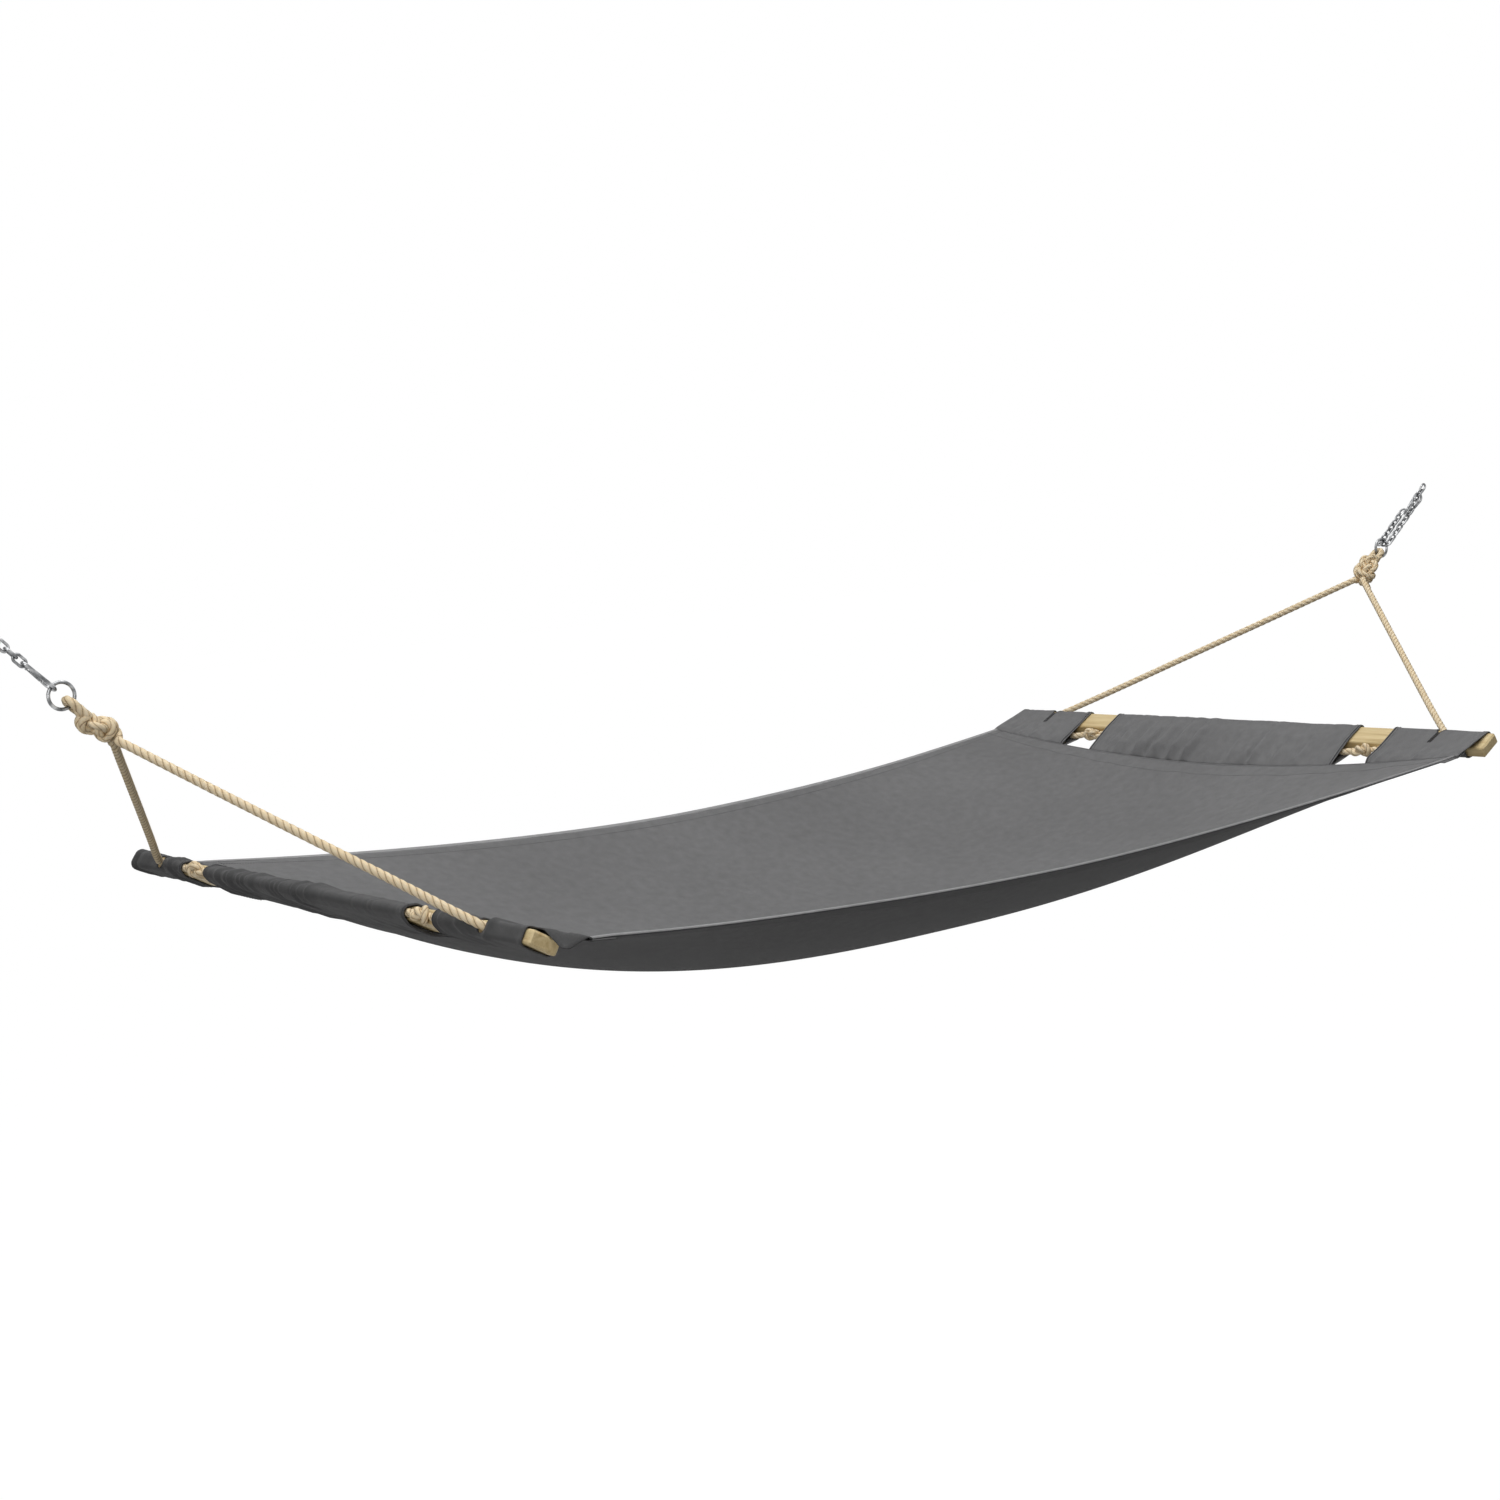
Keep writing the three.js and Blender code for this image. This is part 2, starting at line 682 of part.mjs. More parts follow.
// A frame on a line: local X along it, local Y the piece's width, at the given distance
function frameOn(line, distance, width, offset = 0, lean = 0) {
  const along = line.along.clone().multiplyScalar(Math.cos(lean));
  along.addScaledVector(line.across, Math.sin(lean));
  const side = width === 'across'
    ? line.across.clone().multiplyScalar(Math.cos(lean)).addScaledVector(line.along, -Math.sin(lean))
    : line.over.clone();
  const frame = new THREE.Matrix4().makeBasis(along, side, new THREE.Vector3().crossVectors(along, side));
  const place = line.start.clone().addScaledVector(line.along, distance);
  place.addScaledVector(line.across, offset);
  return frame.setPosition(place);
}

const linkLength = linkPitch + 2 * linkWire;
const linkBendRadius = linkOuterWidth / 2 - linkWire;
const linkStep = linkLength - 2 * linkWire - contactGap;
const linkNest = linkLength - linkStep;
const linkBearing = linkNest / 2;

// One link, its centre at the origin, long side along X, flat in XY
function linkBody() {
  const link = new THREE.TorusGeometry(linkBendRadius, linkWire, wireSides, linkTurns);
  link.rotateZ(Math.PI / linkTurns);
  const stretch = linkLength / 2 - linkBendRadius;
  const position = link.attributes.position;
  for (let i = 0; i < position.count; i += 1) {
    position.setX(i, position.getX(i) + Math.sign(position.getX(i)) * stretch);
  }
  return link;
}

function addLink(name, line, distance, width, offset, lean) {
  addPiece(name, linkBody().applyMatrix4(frameOn(line, distance, width, offset, lean)), steel());
}

// Snap hook, in its own plane: X from the wide end to the narrow end, its wire's centre line
const wideRadius = hookWideWidth / 2 - hookWire;
const narrowRadius = hookNarrowWidth / 2 - hookWire;
const hookCentreLength = hookLength - 2 * hookWire;
const hookArcSpan = hookCentreLength - wideRadius - narrowRadius;
const hookTaper = Math.asin((wideRadius - narrowRadius) / hookArcSpan);

function hookArc(centreX, radius, from, to, count) {
  return evenly(from, to, count).map((angle) => new THREE.Vector3(
    centreX + radius * Math.cos(angle), radius * Math.sin(angle), 0,
  ));
}

const gateSide = new THREE.Vector3(Math.cos(hookTaper), -Math.sin(hookTaper), 0);
const wideTangent = new THREE.Vector3(
  wideRadius + wideRadius * Math.sin(hookTaper), wideRadius * Math.cos(hookTaper), 0,
);
const narrowTangent = new THREE.Vector3(
  wideRadius + hookArcSpan + narrowRadius * Math.sin(hookTaper), narrowRadius * Math.cos(hookTaper), 0,
);
const gatePivot = narrowTangent.clone().addScaledVector(gateSide, -hookHeelLength);
const noseEnd = wideTangent.clone().addScaledVector(gateSide, hookNoseLength);

// A small box lying along the gate, for cutting
function gateBox(length, height, depth, from, lift) {
  const box = new THREE.BoxGeometry(length, height, depth);
  box.translate(from + length / 2, 0, lift);
  box.rotateZ(-hookTaper);
  return box.translate(gatePivot.x, gatePivot.y, 0);
}

function pinBore(radius) {
  const bore = new THREE.CylinderGeometry(radius, radius, 4 * hookWire, holeSides);
  bore.rotateX(Math.PI / 2);
  return bore.translate(gatePivot.x, gatePivot.y, 0);
}

function hookBody() {
  const quarter = Math.PI / 2;
  const farTurn = quarter + hookTaper;
  const nearTurn = quarter - hookTaper;
  const wide = hookArc(wideRadius, wideRadius, nearTurn, Math.PI + farTurn, wideSteps);
  const narrow = hookArc(wideRadius + hookArcSpan, narrowRadius, -farTurn, nearTurn, narrowSteps);
  const heelEnd = gatePivot.clone().addScaledVector(gateSide, -gateTongueLength / 2);
  const points = [noseEnd, ...wide, ...narrow, heelEnd];
  const wire = bentWire(points, hookWire, hookSides, new THREE.Vector3(0, 0, 1));
  const lift = gateTongue / 2 + hookWire;
  const above = gateBox(2 * gateTongueLength, 3 * hookWire, 2 * hookWire, -gateTongueLength, lift);
  const below = gateBox(2 * gateTongueLength, 3 * hookWire, 2 * hookWire, -gateTongueLength, -lift);
  return cutFrom(wire, [above, below, pinBore(gatePinBore)]);
}

function hookGate() {
  const start = gatePivot.clone().addScaledVector(gateSide, gateTongueLength / 2);
  const end = noseEnd.clone().addScaledVector(gateSide, gateGap);
  const bar = bentWire([start, end], hookWire, hookSides, new THREE.Vector3(0, 0, 1));
  const slot = gateBox(2 * gateSlotLength, 3 * hookWire, gateSlot, -gateSlotLength, 0);
  return cutFrom(bar, [slot, pinBore(gatePinBore)]);
}

function gatePin() {
  const pin = new THREE.CylinderGeometry(gatePinRadius, gatePinRadius, gatePinLength, pinSides);
  pin.rotateX(Math.PI / 2);
  return pin.translate(gatePivot.x, gatePivot.y, 0);
}

function addHook(end, frame) {
  addPiece(`${end}_hook_body`, hookBody().applyMatrix4(frame), steel());
  addPiece(`${end}_hook_gate`, hookGate().applyMatrix4(frame), steel());
  addPiece(`${end}_hook_gate_pin`, gatePin().applyMatrix4(frame), steel());
}

// Ring, rope eye and knot at the start of each line
const ringNear = ringDistance - ringRadius;
const ringFar = ringDistance + ringRadius;
const eyeHalfWidth = ropeRadius + ringWire + eyeGap;

function addRingAndKnot(end, line) {
  const ring = new THREE.TorusGeometry(ringRadius, ringWire, wireSides, ringTurns);
  addPiece(`${end}_ring`, ring.applyMatrix4(frameOn(line, ringDistance, 'over')), steel());
  const place = (distance, y) => line.start.clone().addScaledVector(line.along, distance)
    .addScaledVector(line.across, y);
  const eyeFoot = knotLength - knotStart - knotDepth / 4;
  const turn = evenly(0, Math.PI, eyeSteps).map((angle) => place(
    ringNear + eyeHalfWidth * Math.sin(angle), eyeHalfWidth * Math.cos(angle),
  ));
  const eyePoints = [place(eyeFoot, eyeHalfWidth), ...turn, place(eyeFoot, -eyeHalfWidth)];
  addPiece(`${end}_rope_eye`, bentWire(eyePoints, ropeRadius, ropeSides, line.over), rope());
  const knot = new THREE.SphereGeometry(1, knotSides, knotRings);
  knot.rotateZ(Math.PI / 2);
  knot.scale(knotLength / 2, knotWidth / 2, knotDepth / 2);
  knot.applyMatrix4(frameOn(line, knotLength / 2 - knotStart, 'across'));
  const eyeCutter = bentWire(eyePoints, ropeRadius + knotFit, ropeSides, line.over);
  const legCutters = legTubes[end].map((leg) => leg.knotCutter);
  addPiece(`${end}_rope_knot`, cutFrom(knot, [eyeCutter, ...legCutters]), rope());
}

// Left line: ring, snap hook, then links up to the end link
const hookGrip = ringWire + hookWire + contactGap;
const hookToLink = linkWire + hookWire + contactGap;
const leftHookStart = ringFar - hookGrip;
const leftLinkStart = leftHookStart + hookCentreLength - hookToLink;
const leftLineLength = leftLinkStart + (leftLinkCount - 1) * linkStep + linkBearing;
const leftLine = hangingLine(-1, leftBridleReach, leftLineLength);

addRingAndKnot('left', leftLine);
addHook('left', frameOn(leftLine, leftHookStart, 'across'));
for (let i = 1; i <= leftLinkCount; i += 1) {
  const distance = leftLinkStart + (i - 1) * linkStep + linkLength / 2;
  const name = i === leftLinkCount ? 'left_end_link' : `left_chain_link_${i}`;
  addLink(name, leftLine, distance, i % 2 ? 'over' : 'across');
}

// Right line: the chain goes through the ring and its hook clips back on near the top
const ringDip = ringRadius - Math.sqrt(ringRadius ** 2 - linkBendRadius ** 2);
const turnLinkDistance = ringFar - ringDip - ringWire - linkWire - contactGap;
const strandStart = turnLinkDistance - 2 * linkWire - contactGap;
const strandOffset = linkLength / 2;
const joinSteps = clipLinkNumber - returnLinkCount - 1;
const joinLength = joinSteps * linkStep + linkNest;
const joinLean = Math.asin(strandOffset / joinLength);
const clipLinkStart = strandStart + returnLinkCount * linkStep + joinLength * Math.cos(joinLean) - linkNest;
const rightLineLength = clipLinkStart + (rightLinkCount - clipLinkNumber) * linkStep + linkBearing;
const rightLine = hangingLine(1, rightBridleReach, rightLineLength);

addRingAndKnot('right', rightLine);
const turnFrame = new THREE.Matrix4().makeBasis(
  rightLine.across, rightLine.over, rightLine.along.clone(),
).setPosition(rightLine.start.clone().addScaledVector(rightLine.along, turnLinkDistance));
addPiece('right_turn_link', linkBody().applyMatrix4(turnFrame), steel());

// Both strands run straight from the turn link. The main one then leans in to the clip link.
function mainLink(number) {
  const leaning = Math.max(number - 1 - returnLinkCount, 0);
  const lean = number > returnLinkCount ? joinLean : 0;
  const straight = Math.min(number - 1, returnLinkCount);
  const start = strandStart + linkStep * (straight + leaning * Math.cos(joinLean));
  const offset = strandOffset - leaning * linkStep * Math.sin(joinLean);
  return {
    distance: start + linkLength / 2 * Math.cos(lean),
    offset: -offset + linkLength / 2 * Math.sin(lean),
    lean,
  };
}

for (let i = 1; i < clipLinkNumber; i += 1) {
  const { distance, offset, lean } = mainLink(i);
  addLink(`right_chain_link_${i}`, rightLine, distance, i % 2 ? 'across' : 'over', offset, lean);
}
addLink('right_clip_link', rightLine, clipLinkStart + linkLength / 2, 'across');
addLink('right_end_link', rightLine, clipLinkStart + linkStep + linkLength / 2, 'over');
for (let i = 1; i <= returnLinkCount; i += 1) {
  const distance = strandStart + (i - 1) * linkStep + linkLength / 2;
  addLink(`right_return_link_${i}`, rightLine, distance, i % 2 ? 'across' : 'over', strandOffset, 0);
}

// The right hook hangs in the last return link and leans in to grip the clip link
const hookRoot = strandStart + returnLinkCount * linkStep + linkWire + contactGap - hookWire;
const hookLean = Math.asin(strandOffset / hookCentreLength);
const rightHookPlace = hookRoot + hookCentreLength * Math.cos(hookLean);
const rightHookFrame = frameOn(rightLine, rightHookPlace, 'over', 0, -hookLean);
addHook('right', rightHookFrame.multiply(new THREE.Matrix4().makeRotationZ(Math.PI)));

export default hammock;
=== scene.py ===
import math

import bmesh
import bpy
import numpy as np
from mathutils import Matrix, Vector


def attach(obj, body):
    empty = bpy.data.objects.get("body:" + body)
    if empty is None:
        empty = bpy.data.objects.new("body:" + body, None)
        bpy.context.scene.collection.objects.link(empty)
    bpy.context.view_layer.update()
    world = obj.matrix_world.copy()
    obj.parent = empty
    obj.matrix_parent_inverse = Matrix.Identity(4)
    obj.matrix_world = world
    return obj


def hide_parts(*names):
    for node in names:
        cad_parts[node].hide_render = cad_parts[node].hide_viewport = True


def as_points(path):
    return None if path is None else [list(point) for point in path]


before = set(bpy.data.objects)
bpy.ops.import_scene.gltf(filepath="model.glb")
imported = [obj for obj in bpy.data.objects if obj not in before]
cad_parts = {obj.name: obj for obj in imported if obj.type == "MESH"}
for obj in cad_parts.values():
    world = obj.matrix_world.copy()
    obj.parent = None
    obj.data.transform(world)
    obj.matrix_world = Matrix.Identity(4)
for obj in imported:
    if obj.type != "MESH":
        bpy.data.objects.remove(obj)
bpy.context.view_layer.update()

# A canvas hammock on two wooden spreader bars, with rope bridles, rings, snap hooks and chains.
# Metres, +X from the left end to the right end, +Y to the far side, +Z up.

bar = {
    "centreX": 0.957,
    "drop": 0.414,              # below the line that the hammock swings about
    "length": 1.110,
    "width": 0.045,
    "thickness": 0.020,
    "edgeRadius": 0.004,
    "tilt": math.radians(30),
    "holeY": 0.4575,
    "innerHoleY": 0.4125,
    "windowNear": 0.3623,       # the sleeve's windows, measured from the bar's middle
    "windowFar": 0.2895,
}

bed = {
    "span": 0.9717,             # half length that the sag curves run over
    "seamX": 0.880,
    "endX": 0.8797,
    "halfWidth": 0.550,
    "edgeInset": 0.0441,
    "topDrop": 0.4141,
    "edgeSag": 0.0628,
    "middleSag": 0.2206,
    "edgeCurve": 1.74,
    "middleCurve": 2.61,
    "troughCurve": 1.87,
    "thickness": 0.0016,
    "flatArea": 1.94,
    "lengthSteps": 250,
    "widthSteps": 116,
    "pucker": 0.0016,           # folds that run in from the seams
    "puckerWave": 0.034,
    "puckerReach": 0.11,
    "softFold": 0.0022,         # slow unevenness all over
    "softWave": 0.19,
    "softLength": 0.43,
    "softSlant": 0.3,
}


def unit(v):
    return v / np.linalg.norm(v, axis=-1, keepdims=True)


def eased(share):
    # from 0 to 1, level at both ends
    share = np.clip(share, 0, 1)
    return share * share * (3 - 2 * share)


def runningLengths(line):
    return np.concatenate([[0], np.cumsum(np.linalg.norm(np.diff(line, axis=0), axis=1))])


def lineLength(line):
    return float(np.linalg.norm(np.diff(line, axis=0), axis=1).sum())


def rowsAt(at, places, rows):
    return np.column_stack([np.interp(at, places, column) for column in rows.T])


def evenSteps(line, step):
    # the same line, cut into equal steps
    lengths = runningLengths(line)
    count = max(int(round(lengths[-1] / step)), 2)
    return rowsAt(np.linspace(0, lengths[-1], count + 1), lengths, line)


def evenValues(line, values, count):
    # values along a line, read at even steps of it
    lengths = runningLengths(line)
    return np.interp(np.linspace(0, lengths[-1], count), lengths, values)


def nearest(values, wanted):
    return int(np.argmin(np.abs(values - wanted)))


def smoothNoise(values, wavelength, seed):
    # one-dimensional noise from -1 to 1
    values = np.asarray(values, float) / wavelength
    knots = np.random.default_rng(seed).uniform(-1, 1, 4096)
    cell = np.floor(values).astype(int)
    share = eased(values - cell)
    return knots[cell % 4096] * (1 - share) + knots[(cell + 1) % 4096] * share


def onBar(side, y, a, b):
    # a runs towards the bar's outer edge, b towards its upper face
    c, s = math.cos(bar["tilt"]), math.sin(bar["tilt"])
    x = bar["centreX"] + a * c - b * s
    z = a * s + b * c - bar["drop"]
    return np.stack(np.broadcast_arrays(side * x, y, z), axis=-1).astype(float)


def barPlace(x, z):
    # the a and b of a point whose x is measured outwards from the middle
    c, s = math.cos(bar["tilt"]), math.sin(bar["tilt"])
    dx, dz = x - bar["centreX"], z + bar["drop"]
    return dx * c + dz * s, dz * c - dx * s


def barCorner():
    # the a and b of the centre of the bar's outer upper rounding
    return bar["width"] / 2 - bar["edgeRadius"], bar["thickness"] / 2 - bar["edgeRadius"]


def bedHalfWidth(x):
    share = np.abs(x) / bed["span"]
    return bed["halfWidth"] - bed["edgeInset"] * (1 - share ** bed["edgeCurve"])


def bedHeight(x, y):
    share = np.abs(x) / bed["span"]
    across = np.minimum(np.abs(y) / bedHalfWidth(x), 1) ** bed["troughCurve"]
    edge = bed["edgeSag"] * (1 - share ** bed["edgeCurve"]) * across
    middle = bed["middleSag"] * (1 - share ** bed["middleCurve"]) * (1 - across)
    return -bed["topDrop"] - edge - middle


def bedFolds(x, y):
    inward = (bed["endX"] - np.abs(x)) / bed["puckerReach"]
    fade = np.exp(-inward ** 2) * np.minimum(inward * 3, 1)
    pucker = np.where(x < 0, *(smoothNoise(y, bed["puckerWave"], seed) for seed in (11, 12)))
    slow = smoothNoise(y + bed["softSlant"] * x + 5, bed["softWave"], 21)
    slow = slow * smoothNoise(x + 9, bed["softLength"], 22)
    return bed["pucker"] * pucker * fade + bed["softFold"] * slow * np.clip(inward / 2, 0, 1)


def newObject(name, data):
    obj = bpy.data.objects.new(name, data)
    bpy.context.scene.collection.objects.link(obj)
    return obj


def meshObject(name, vertices, faces, material, uvs=None, paintedGrooveShade=None):
    mesh = bpy.data.meshes.new(name)
    mesh.from_pydata(np.asarray(vertices).tolist(), [], [list(face) for face in faces])
    mesh.materials.append(material)
    mesh.polygons.foreach_set("use_smooth", [True] * len(mesh.polygons))
    if uvs is not None:
        layer = mesh.uv_layers.new(name="UVMap")
        corners = np.zeros(len(mesh.loops), int)
        mesh.loops.foreach_get("vertex_index", corners)
        layer.data.foreach_set("uv", np.asarray(uvs, np.float32)[corners].ravel())
    if paintedGrooveShade is not None:
        attribute = mesh.attributes.new("paintedGrooveShade", "FLOAT", "POINT")
        attribute.data.foreach_set("value", np.asarray(paintedGrooveShade, np.float32))
    mesh.update()
    return newObject(name, mesh)


def settle(obj, body, slot, *nodes):
    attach(obj, body)
    if nodes:
        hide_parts(*nodes)
    return obj


def applied(obj, modifier):
    # the object with what the modifier makes of it as its own mesh
    shown = obj.evaluated_get(bpy.context.evaluated_depsgraph_get())
    plain = bpy.data.meshes.new_from_object(shown)
    obj.modifiers.remove(modifier)
    obj.data = plain
    return obj


def spreadObject(name, points, turns, tree, values):
    # the plain mesh that a node tree makes on these points
    mesh = bpy.data.meshes.new(name)
    mesh.from_pydata(np.asarray(points).tolist(), [], [])
    attribute = mesh.attributes.new("turn", "FLOAT_VECTOR", "POINT")
    attribute.data.foreach_set("vector", np.asarray(turns, np.float32).ravel())
    obj = newObject(name, mesh)
    modifier = obj.modifiers.new("spread", "NODES")
    modifier.node_group = tree
    for item in tree.interface.items_tree:
        if item.in_out == "INPUT" and item.name in values:
            modifier[item.identifier] = values[item.name]
    applied(obj, modifier).data.name = name
    return obj


def turnOf(x, y, z):
    # the angles that turn the world's axes onto these three
    return tuple(Matrix(np.column_stack([x, y, z]).tolist()).to_euler())


# Materials. A look names its noise fields, the field that its colour ramp reads, the fields laid
# over that colour, and those that raise its surface. Cloth and rope add fields of their own.

def fill(tree, node, inputs):
    # sets each input, or links it where its value is another node's output
    for key, value in inputs.items():
        if isinstance(value, bpy.types.NodeSocket):
            tree.links.new(value, node.inputs[key])
        else:
            node.inputs[key].default_value = value
    return node


def addNode(tree, kind, settings=None, inputs=None):
    node = tree.nodes.new(kind)
    for key, value in (settings or {}).items():
        setattr(node, key, value)
    return fill(tree, node, inputs or {})


def mathNode(tree, operation, first, second):
    return addNode(tree, "ShaderNodeMath", {"operation": operation}, {0: first, 1: second}).outputs["Value"]


def bands(tree, vector, direction, scale, distortion, detail, detailScale):
    return addNode(tree, "ShaderNodeTexWave", {"wave_type": "BANDS", "bands_direction": direction}, {
        "Vector": vector, "Scale": scale, "Distortion": distortion,
        "Detail": detail, "Detail Scale": detailScale,
    }).outputs["Fac"]


def newMaterial(name, colour, inputs):
    material = bpy.data.materials.new(name)
    material.use_nodes = True
    material.diffuse_color = (*colour, 1)
    tree = material.node_tree
    return material, tree, fill(tree, tree.nodes["Principled BSDF"], {"Base Color": (*colour, 1), **inputs})


def layeredMaterial(name, look, addFields=None, tint=(1, 1, 1)):
    def tinted(colour):
        return tuple(c * share for c, share in zip(colour, tint))

    material, tree, shader = newMaterial(name, tinted(look["colour"]), look["shader"])
    if addFields:
        vector = addNode(tree, "ShaderNodeUVMap", {"uv_map": "UVMap"}).outputs["UV"]
    else:
        vector = addNode(tree, "ShaderNodeTexCoord").outputs["Object"]
    if "stretch" in look:
        inputs = {"Vector": vector, "Scale": look["stretch"]}
        vector = addNode(tree, "ShaderNodeMapping", None, inputs).outputs["Vector"]
    fields = addFields(tree, vector) if addFields else {}
    for key, sizes in look["noise"].items():
        inputs = dict(zip(("Scale", "Detail", "Distortion"), sizes))
        fields[key] = addNode(tree, "ShaderNodeTexNoise", None, {"Vector": vector, **inputs}).outputs["Fac"]
    ramp = addNode(tree, "ShaderNodeValToRGB", None, {"Fac": fields[look["rampField"]]})
    while len(ramp.color_ramp.elements) < len(look["ramp"]):
        ramp.color_ramp.elements.new(0.5)
    for element, (place, colour) in zip(ramp.color_ramp.elements, look["ramp"]):
        element.position = place
        element.color = (*tinted(colour), 1)
    base, normal = ramp.outputs["Color"], {}
    settings = {"data_type": "RGBA", "blend_type": "OVERLAY"}
    for key, amount in look["overlay"].items():
        inputs = {"Factor": amount, 6: base, 7: fields[key]}
        base = addNode(tree, "ShaderNodeMix", settings, inputs).outputs[2]
    for key, (strength, distance) in look["bump"].items():
        inputs = {"Strength": strength, "Distance": distance, "Height": fields[key], **normal}
        normal = {"Normal": addNode(tree, "ShaderNodeBump", None, inputs).outputs["Normal"]}
    fill(tree, shader, {"Base Color": base, **normal})
    if "gloss" in look:
        inputs = dict(zip(("From Min", "From Max", "To Min", "To Max"), look["gloss"]))
        inputs["Value"] = fields[look["glossField"]]
        fill(tree, shader, {"Roughness": addNode(tree, "ShaderNodeMapRange", None, inputs).outputs["Result"]})
    return material


canvasLook = {
    "colour": (0.168, 0.168, 0.170),
    "ramp": [(0.25, (0.118, 0.118, 0.120)), (0.5, (0.168, 0.168, 0.170)), (0.78, (0.205, 0.205, 0.207))],
    "rampField": "grain",
    "noise": {"grain": (900, 2.0), "mottle": (60, 3.0), "cloud": (3.5, 2.0)},   # scale, detail
    "overlay": {"mottle": 0.22, "cloud": 0.16},
    "bump": {"mottle": (0.25, 0.0012), "weave": (0.45, 0.0003)},                # strength, distance
    "shader": {"Roughness": 0.88, "Specular IOR Level": 0.25, "Sheen Weight": 0.08, "Sheen Roughness": 0.5},
    "threadPitch": 0.0011,
    "threadWaver": (1.2, 1.0, 0.6),         # distortion, detail and its scale
}
canvasPaintedLight = {"": 1.0, "RimPaintedHighlight": 2.10, "Left": 0.44, "UnderPaintedShade": 0.52, "HemPaintedShade": 0.38}   # "" is the bed's top; the rest are copies with painted light: a painted highlight on the hem's rim, painted shade on the left sleeves, the underside and the hem
woodLook = {
    "colour": (0.650, 0.505, 0.265),
    "ramp": [(0.30, (0.500, 0.365, 0.170)), (0.46, (0.650, 0.505, 0.265)), (0.62, (0.735, 0.590, 0.330))],
    "rampField": "grain",
    "stretch": (55, 2.4, 55),   # the grain runs along the bar
    "noise": {"grain": (1.6, 5.0, 0.7), "fine": (14.0, 3.0)},
    "overlay": {"fine": 0.25},
    "bump": {"grain": (0.12, 0.0006), "fine": (0.15, 0.0002)},
    "shader": {"Roughness": 0.55, "Specular IOR Level": 0.4},
}
ropeLook = {
    "colour": (0.870, 0.697, 0.450),
    # painted shade: the ramp darkens the rope to deep brown in the grooves between strands and lightens it on
    # the crests
    "ramp": [(0.0, (0.955, 0.800, 0.555)), (0.60, (0.870, 0.697, 0.450)), (1.0, (0.280, 0.172, 0.090))],
    "rampField": "paintedGrooveShade",
    "noise": {"fibre": (700, 3.0), "patch": (45, 2.0)},
    "overlay": {"yarn": 0.35, "fibre": 0.30, "patch": 0.25},
    "bump": {"fibre": (0.3, 0.0003), "yarn": (0.55, 0.0004)},
    "shader": {"Roughness": 0.85, "Specular IOR Level": 0.2},
    "yarns": 34,                # yarn lines round the rope
    "yarnSlant": math.radians(14),
    "yarnWaver": (2.0, 2.0, 1.5),
    "radius": 0.006,
    "strandCentre": 0.0013,
    "strandRadius": 0.0047,
    "lay": 0.036,               # length of one full turn of a strand
    "ringStep": 0.0017,
    "sides": 36,
}
steelLook = {
    "colour": (0.470, 0.475, 0.480),
    # painted shade and painted reflection: dark patches of noise stand in for dark edges and crevices on the
    # steel
    "ramp": [(0.30, (0.070, 0.073, 0.076)), (0.48, (0.210, 0.215, 0.220)), (0.66, (0.470, 0.475, 0.480))],
    "rampField": "paintedReflectionShade",
    "noise": {"spangle": (260, 3.0), "paintedReflectionShade": (90, 4.0)},
    "overlay": {},
    "bump": {"spangle": (0.12, 0.0003)},
    "shader": {"Roughness": 0.3, "Metallic": 1.0},
    "gloss": (0.3, 0.7, 0.22, 0.42),        # roughness from 0.22 to 0.42 as the field goes from 0.3 to 0.7
    "glossField": "spangle",
}
threadLook = {
    "colour": (1, 1, 1),
    "ramp": [(0.35, (0.7, 0.7, 0.7)), (0.65, (1.35, 1.35, 1.35))],
    "rampField": "fade",
    "noise": {"ply": (2600, 2.0), "fade": (35, 2.0)},
    "overlay": {"ply": 0.3},
    "bump": {"ply": (0.4, 0.0002)},
    "shader": {"Roughness": 0.8},
}
threadTones = {"seamThread": (0.105, 0.105, 0.108), "edgeThread": (0.030, 0.030, 0.032)}


def canvasFields(tree, uv):
    scale = math.pi / 10 / canvasLook["threadPitch"]
    threads = [bands(tree, uv, way, scale, *canvasLook["threadWaver"]) for way in ("X", "Y")]
    return {"weave": mathNode(tree, "MAXIMUM", *threads)}


def ropeFields(tree, uv):
    turns = 1 / math.tau / ropeLook["radius"]
    slant = addNode(tree, "ShaderNodeMapping", None, {
        "Vector": uv, "Rotation": (0, 0, ropeLook["yarnSlant"]), "Scale": (turns, turns, 1),
    })
    scale = ropeLook["yarns"] * math.pi / 10
    return {
        "yarn": bands(tree, slant.outputs["Vector"], "X", scale, *ropeLook["yarnWaver"]),
        # the groove depth, which the ramp turns into painted shade
        "paintedGrooveShade": addNode(tree, "ShaderNodeAttribute", {"attribute_name": "paintedGrooveShade"}).outputs["Fac"],
    }


view = {
    "place": (-2.4751, -2.9138, 0.1229),
    "yaw": 0.6659,      # radians, turned from +Y towards +X
    "pitch": 0.1152,    # radians, looking down
    "roll": -0.068,
    "lens": 57.02,      # millimetres, on a 36 mm square
    "sensor": 36,
    "farthest": 200,
}

stage = {
    "floorZ": -2.2,
    "floorSize": 60,
    "floorColour": (0.50, 0.50, 0.50),
    "floorGlow": 0.92,          # how much of the floor's colour the camera sees unshaded
    "floorWhite": 1.08,
    "ambient": 0.045,
    "aim": (0, 0, -bar["drop"]),
    "lamps": [
        {"name": "overhead", "place": (-0.1, -0.3, 2.9), "size": 4.6, "power": 130},
        {"name": "lowLeft", "place": (-3.3, -2.3, 0.6), "aim": (-1.2, -0.1, -0.2), "size": 1.6, "power": 40},
        {"name": "front", "place": (-4.4, -4.8, 2.6), "size": 2.6, "power": 9},
    ],
}


def seenBy(tree, *rays):
    # 1 for the camera's own rays and for these
    path = addNode(tree, "ShaderNodeLightPath").outputs
    seen = path["Is Camera Ray"]
    for ray in rays:
        seen = mathNode(tree, "MAXIMUM", seen, path[ray])
    return seen


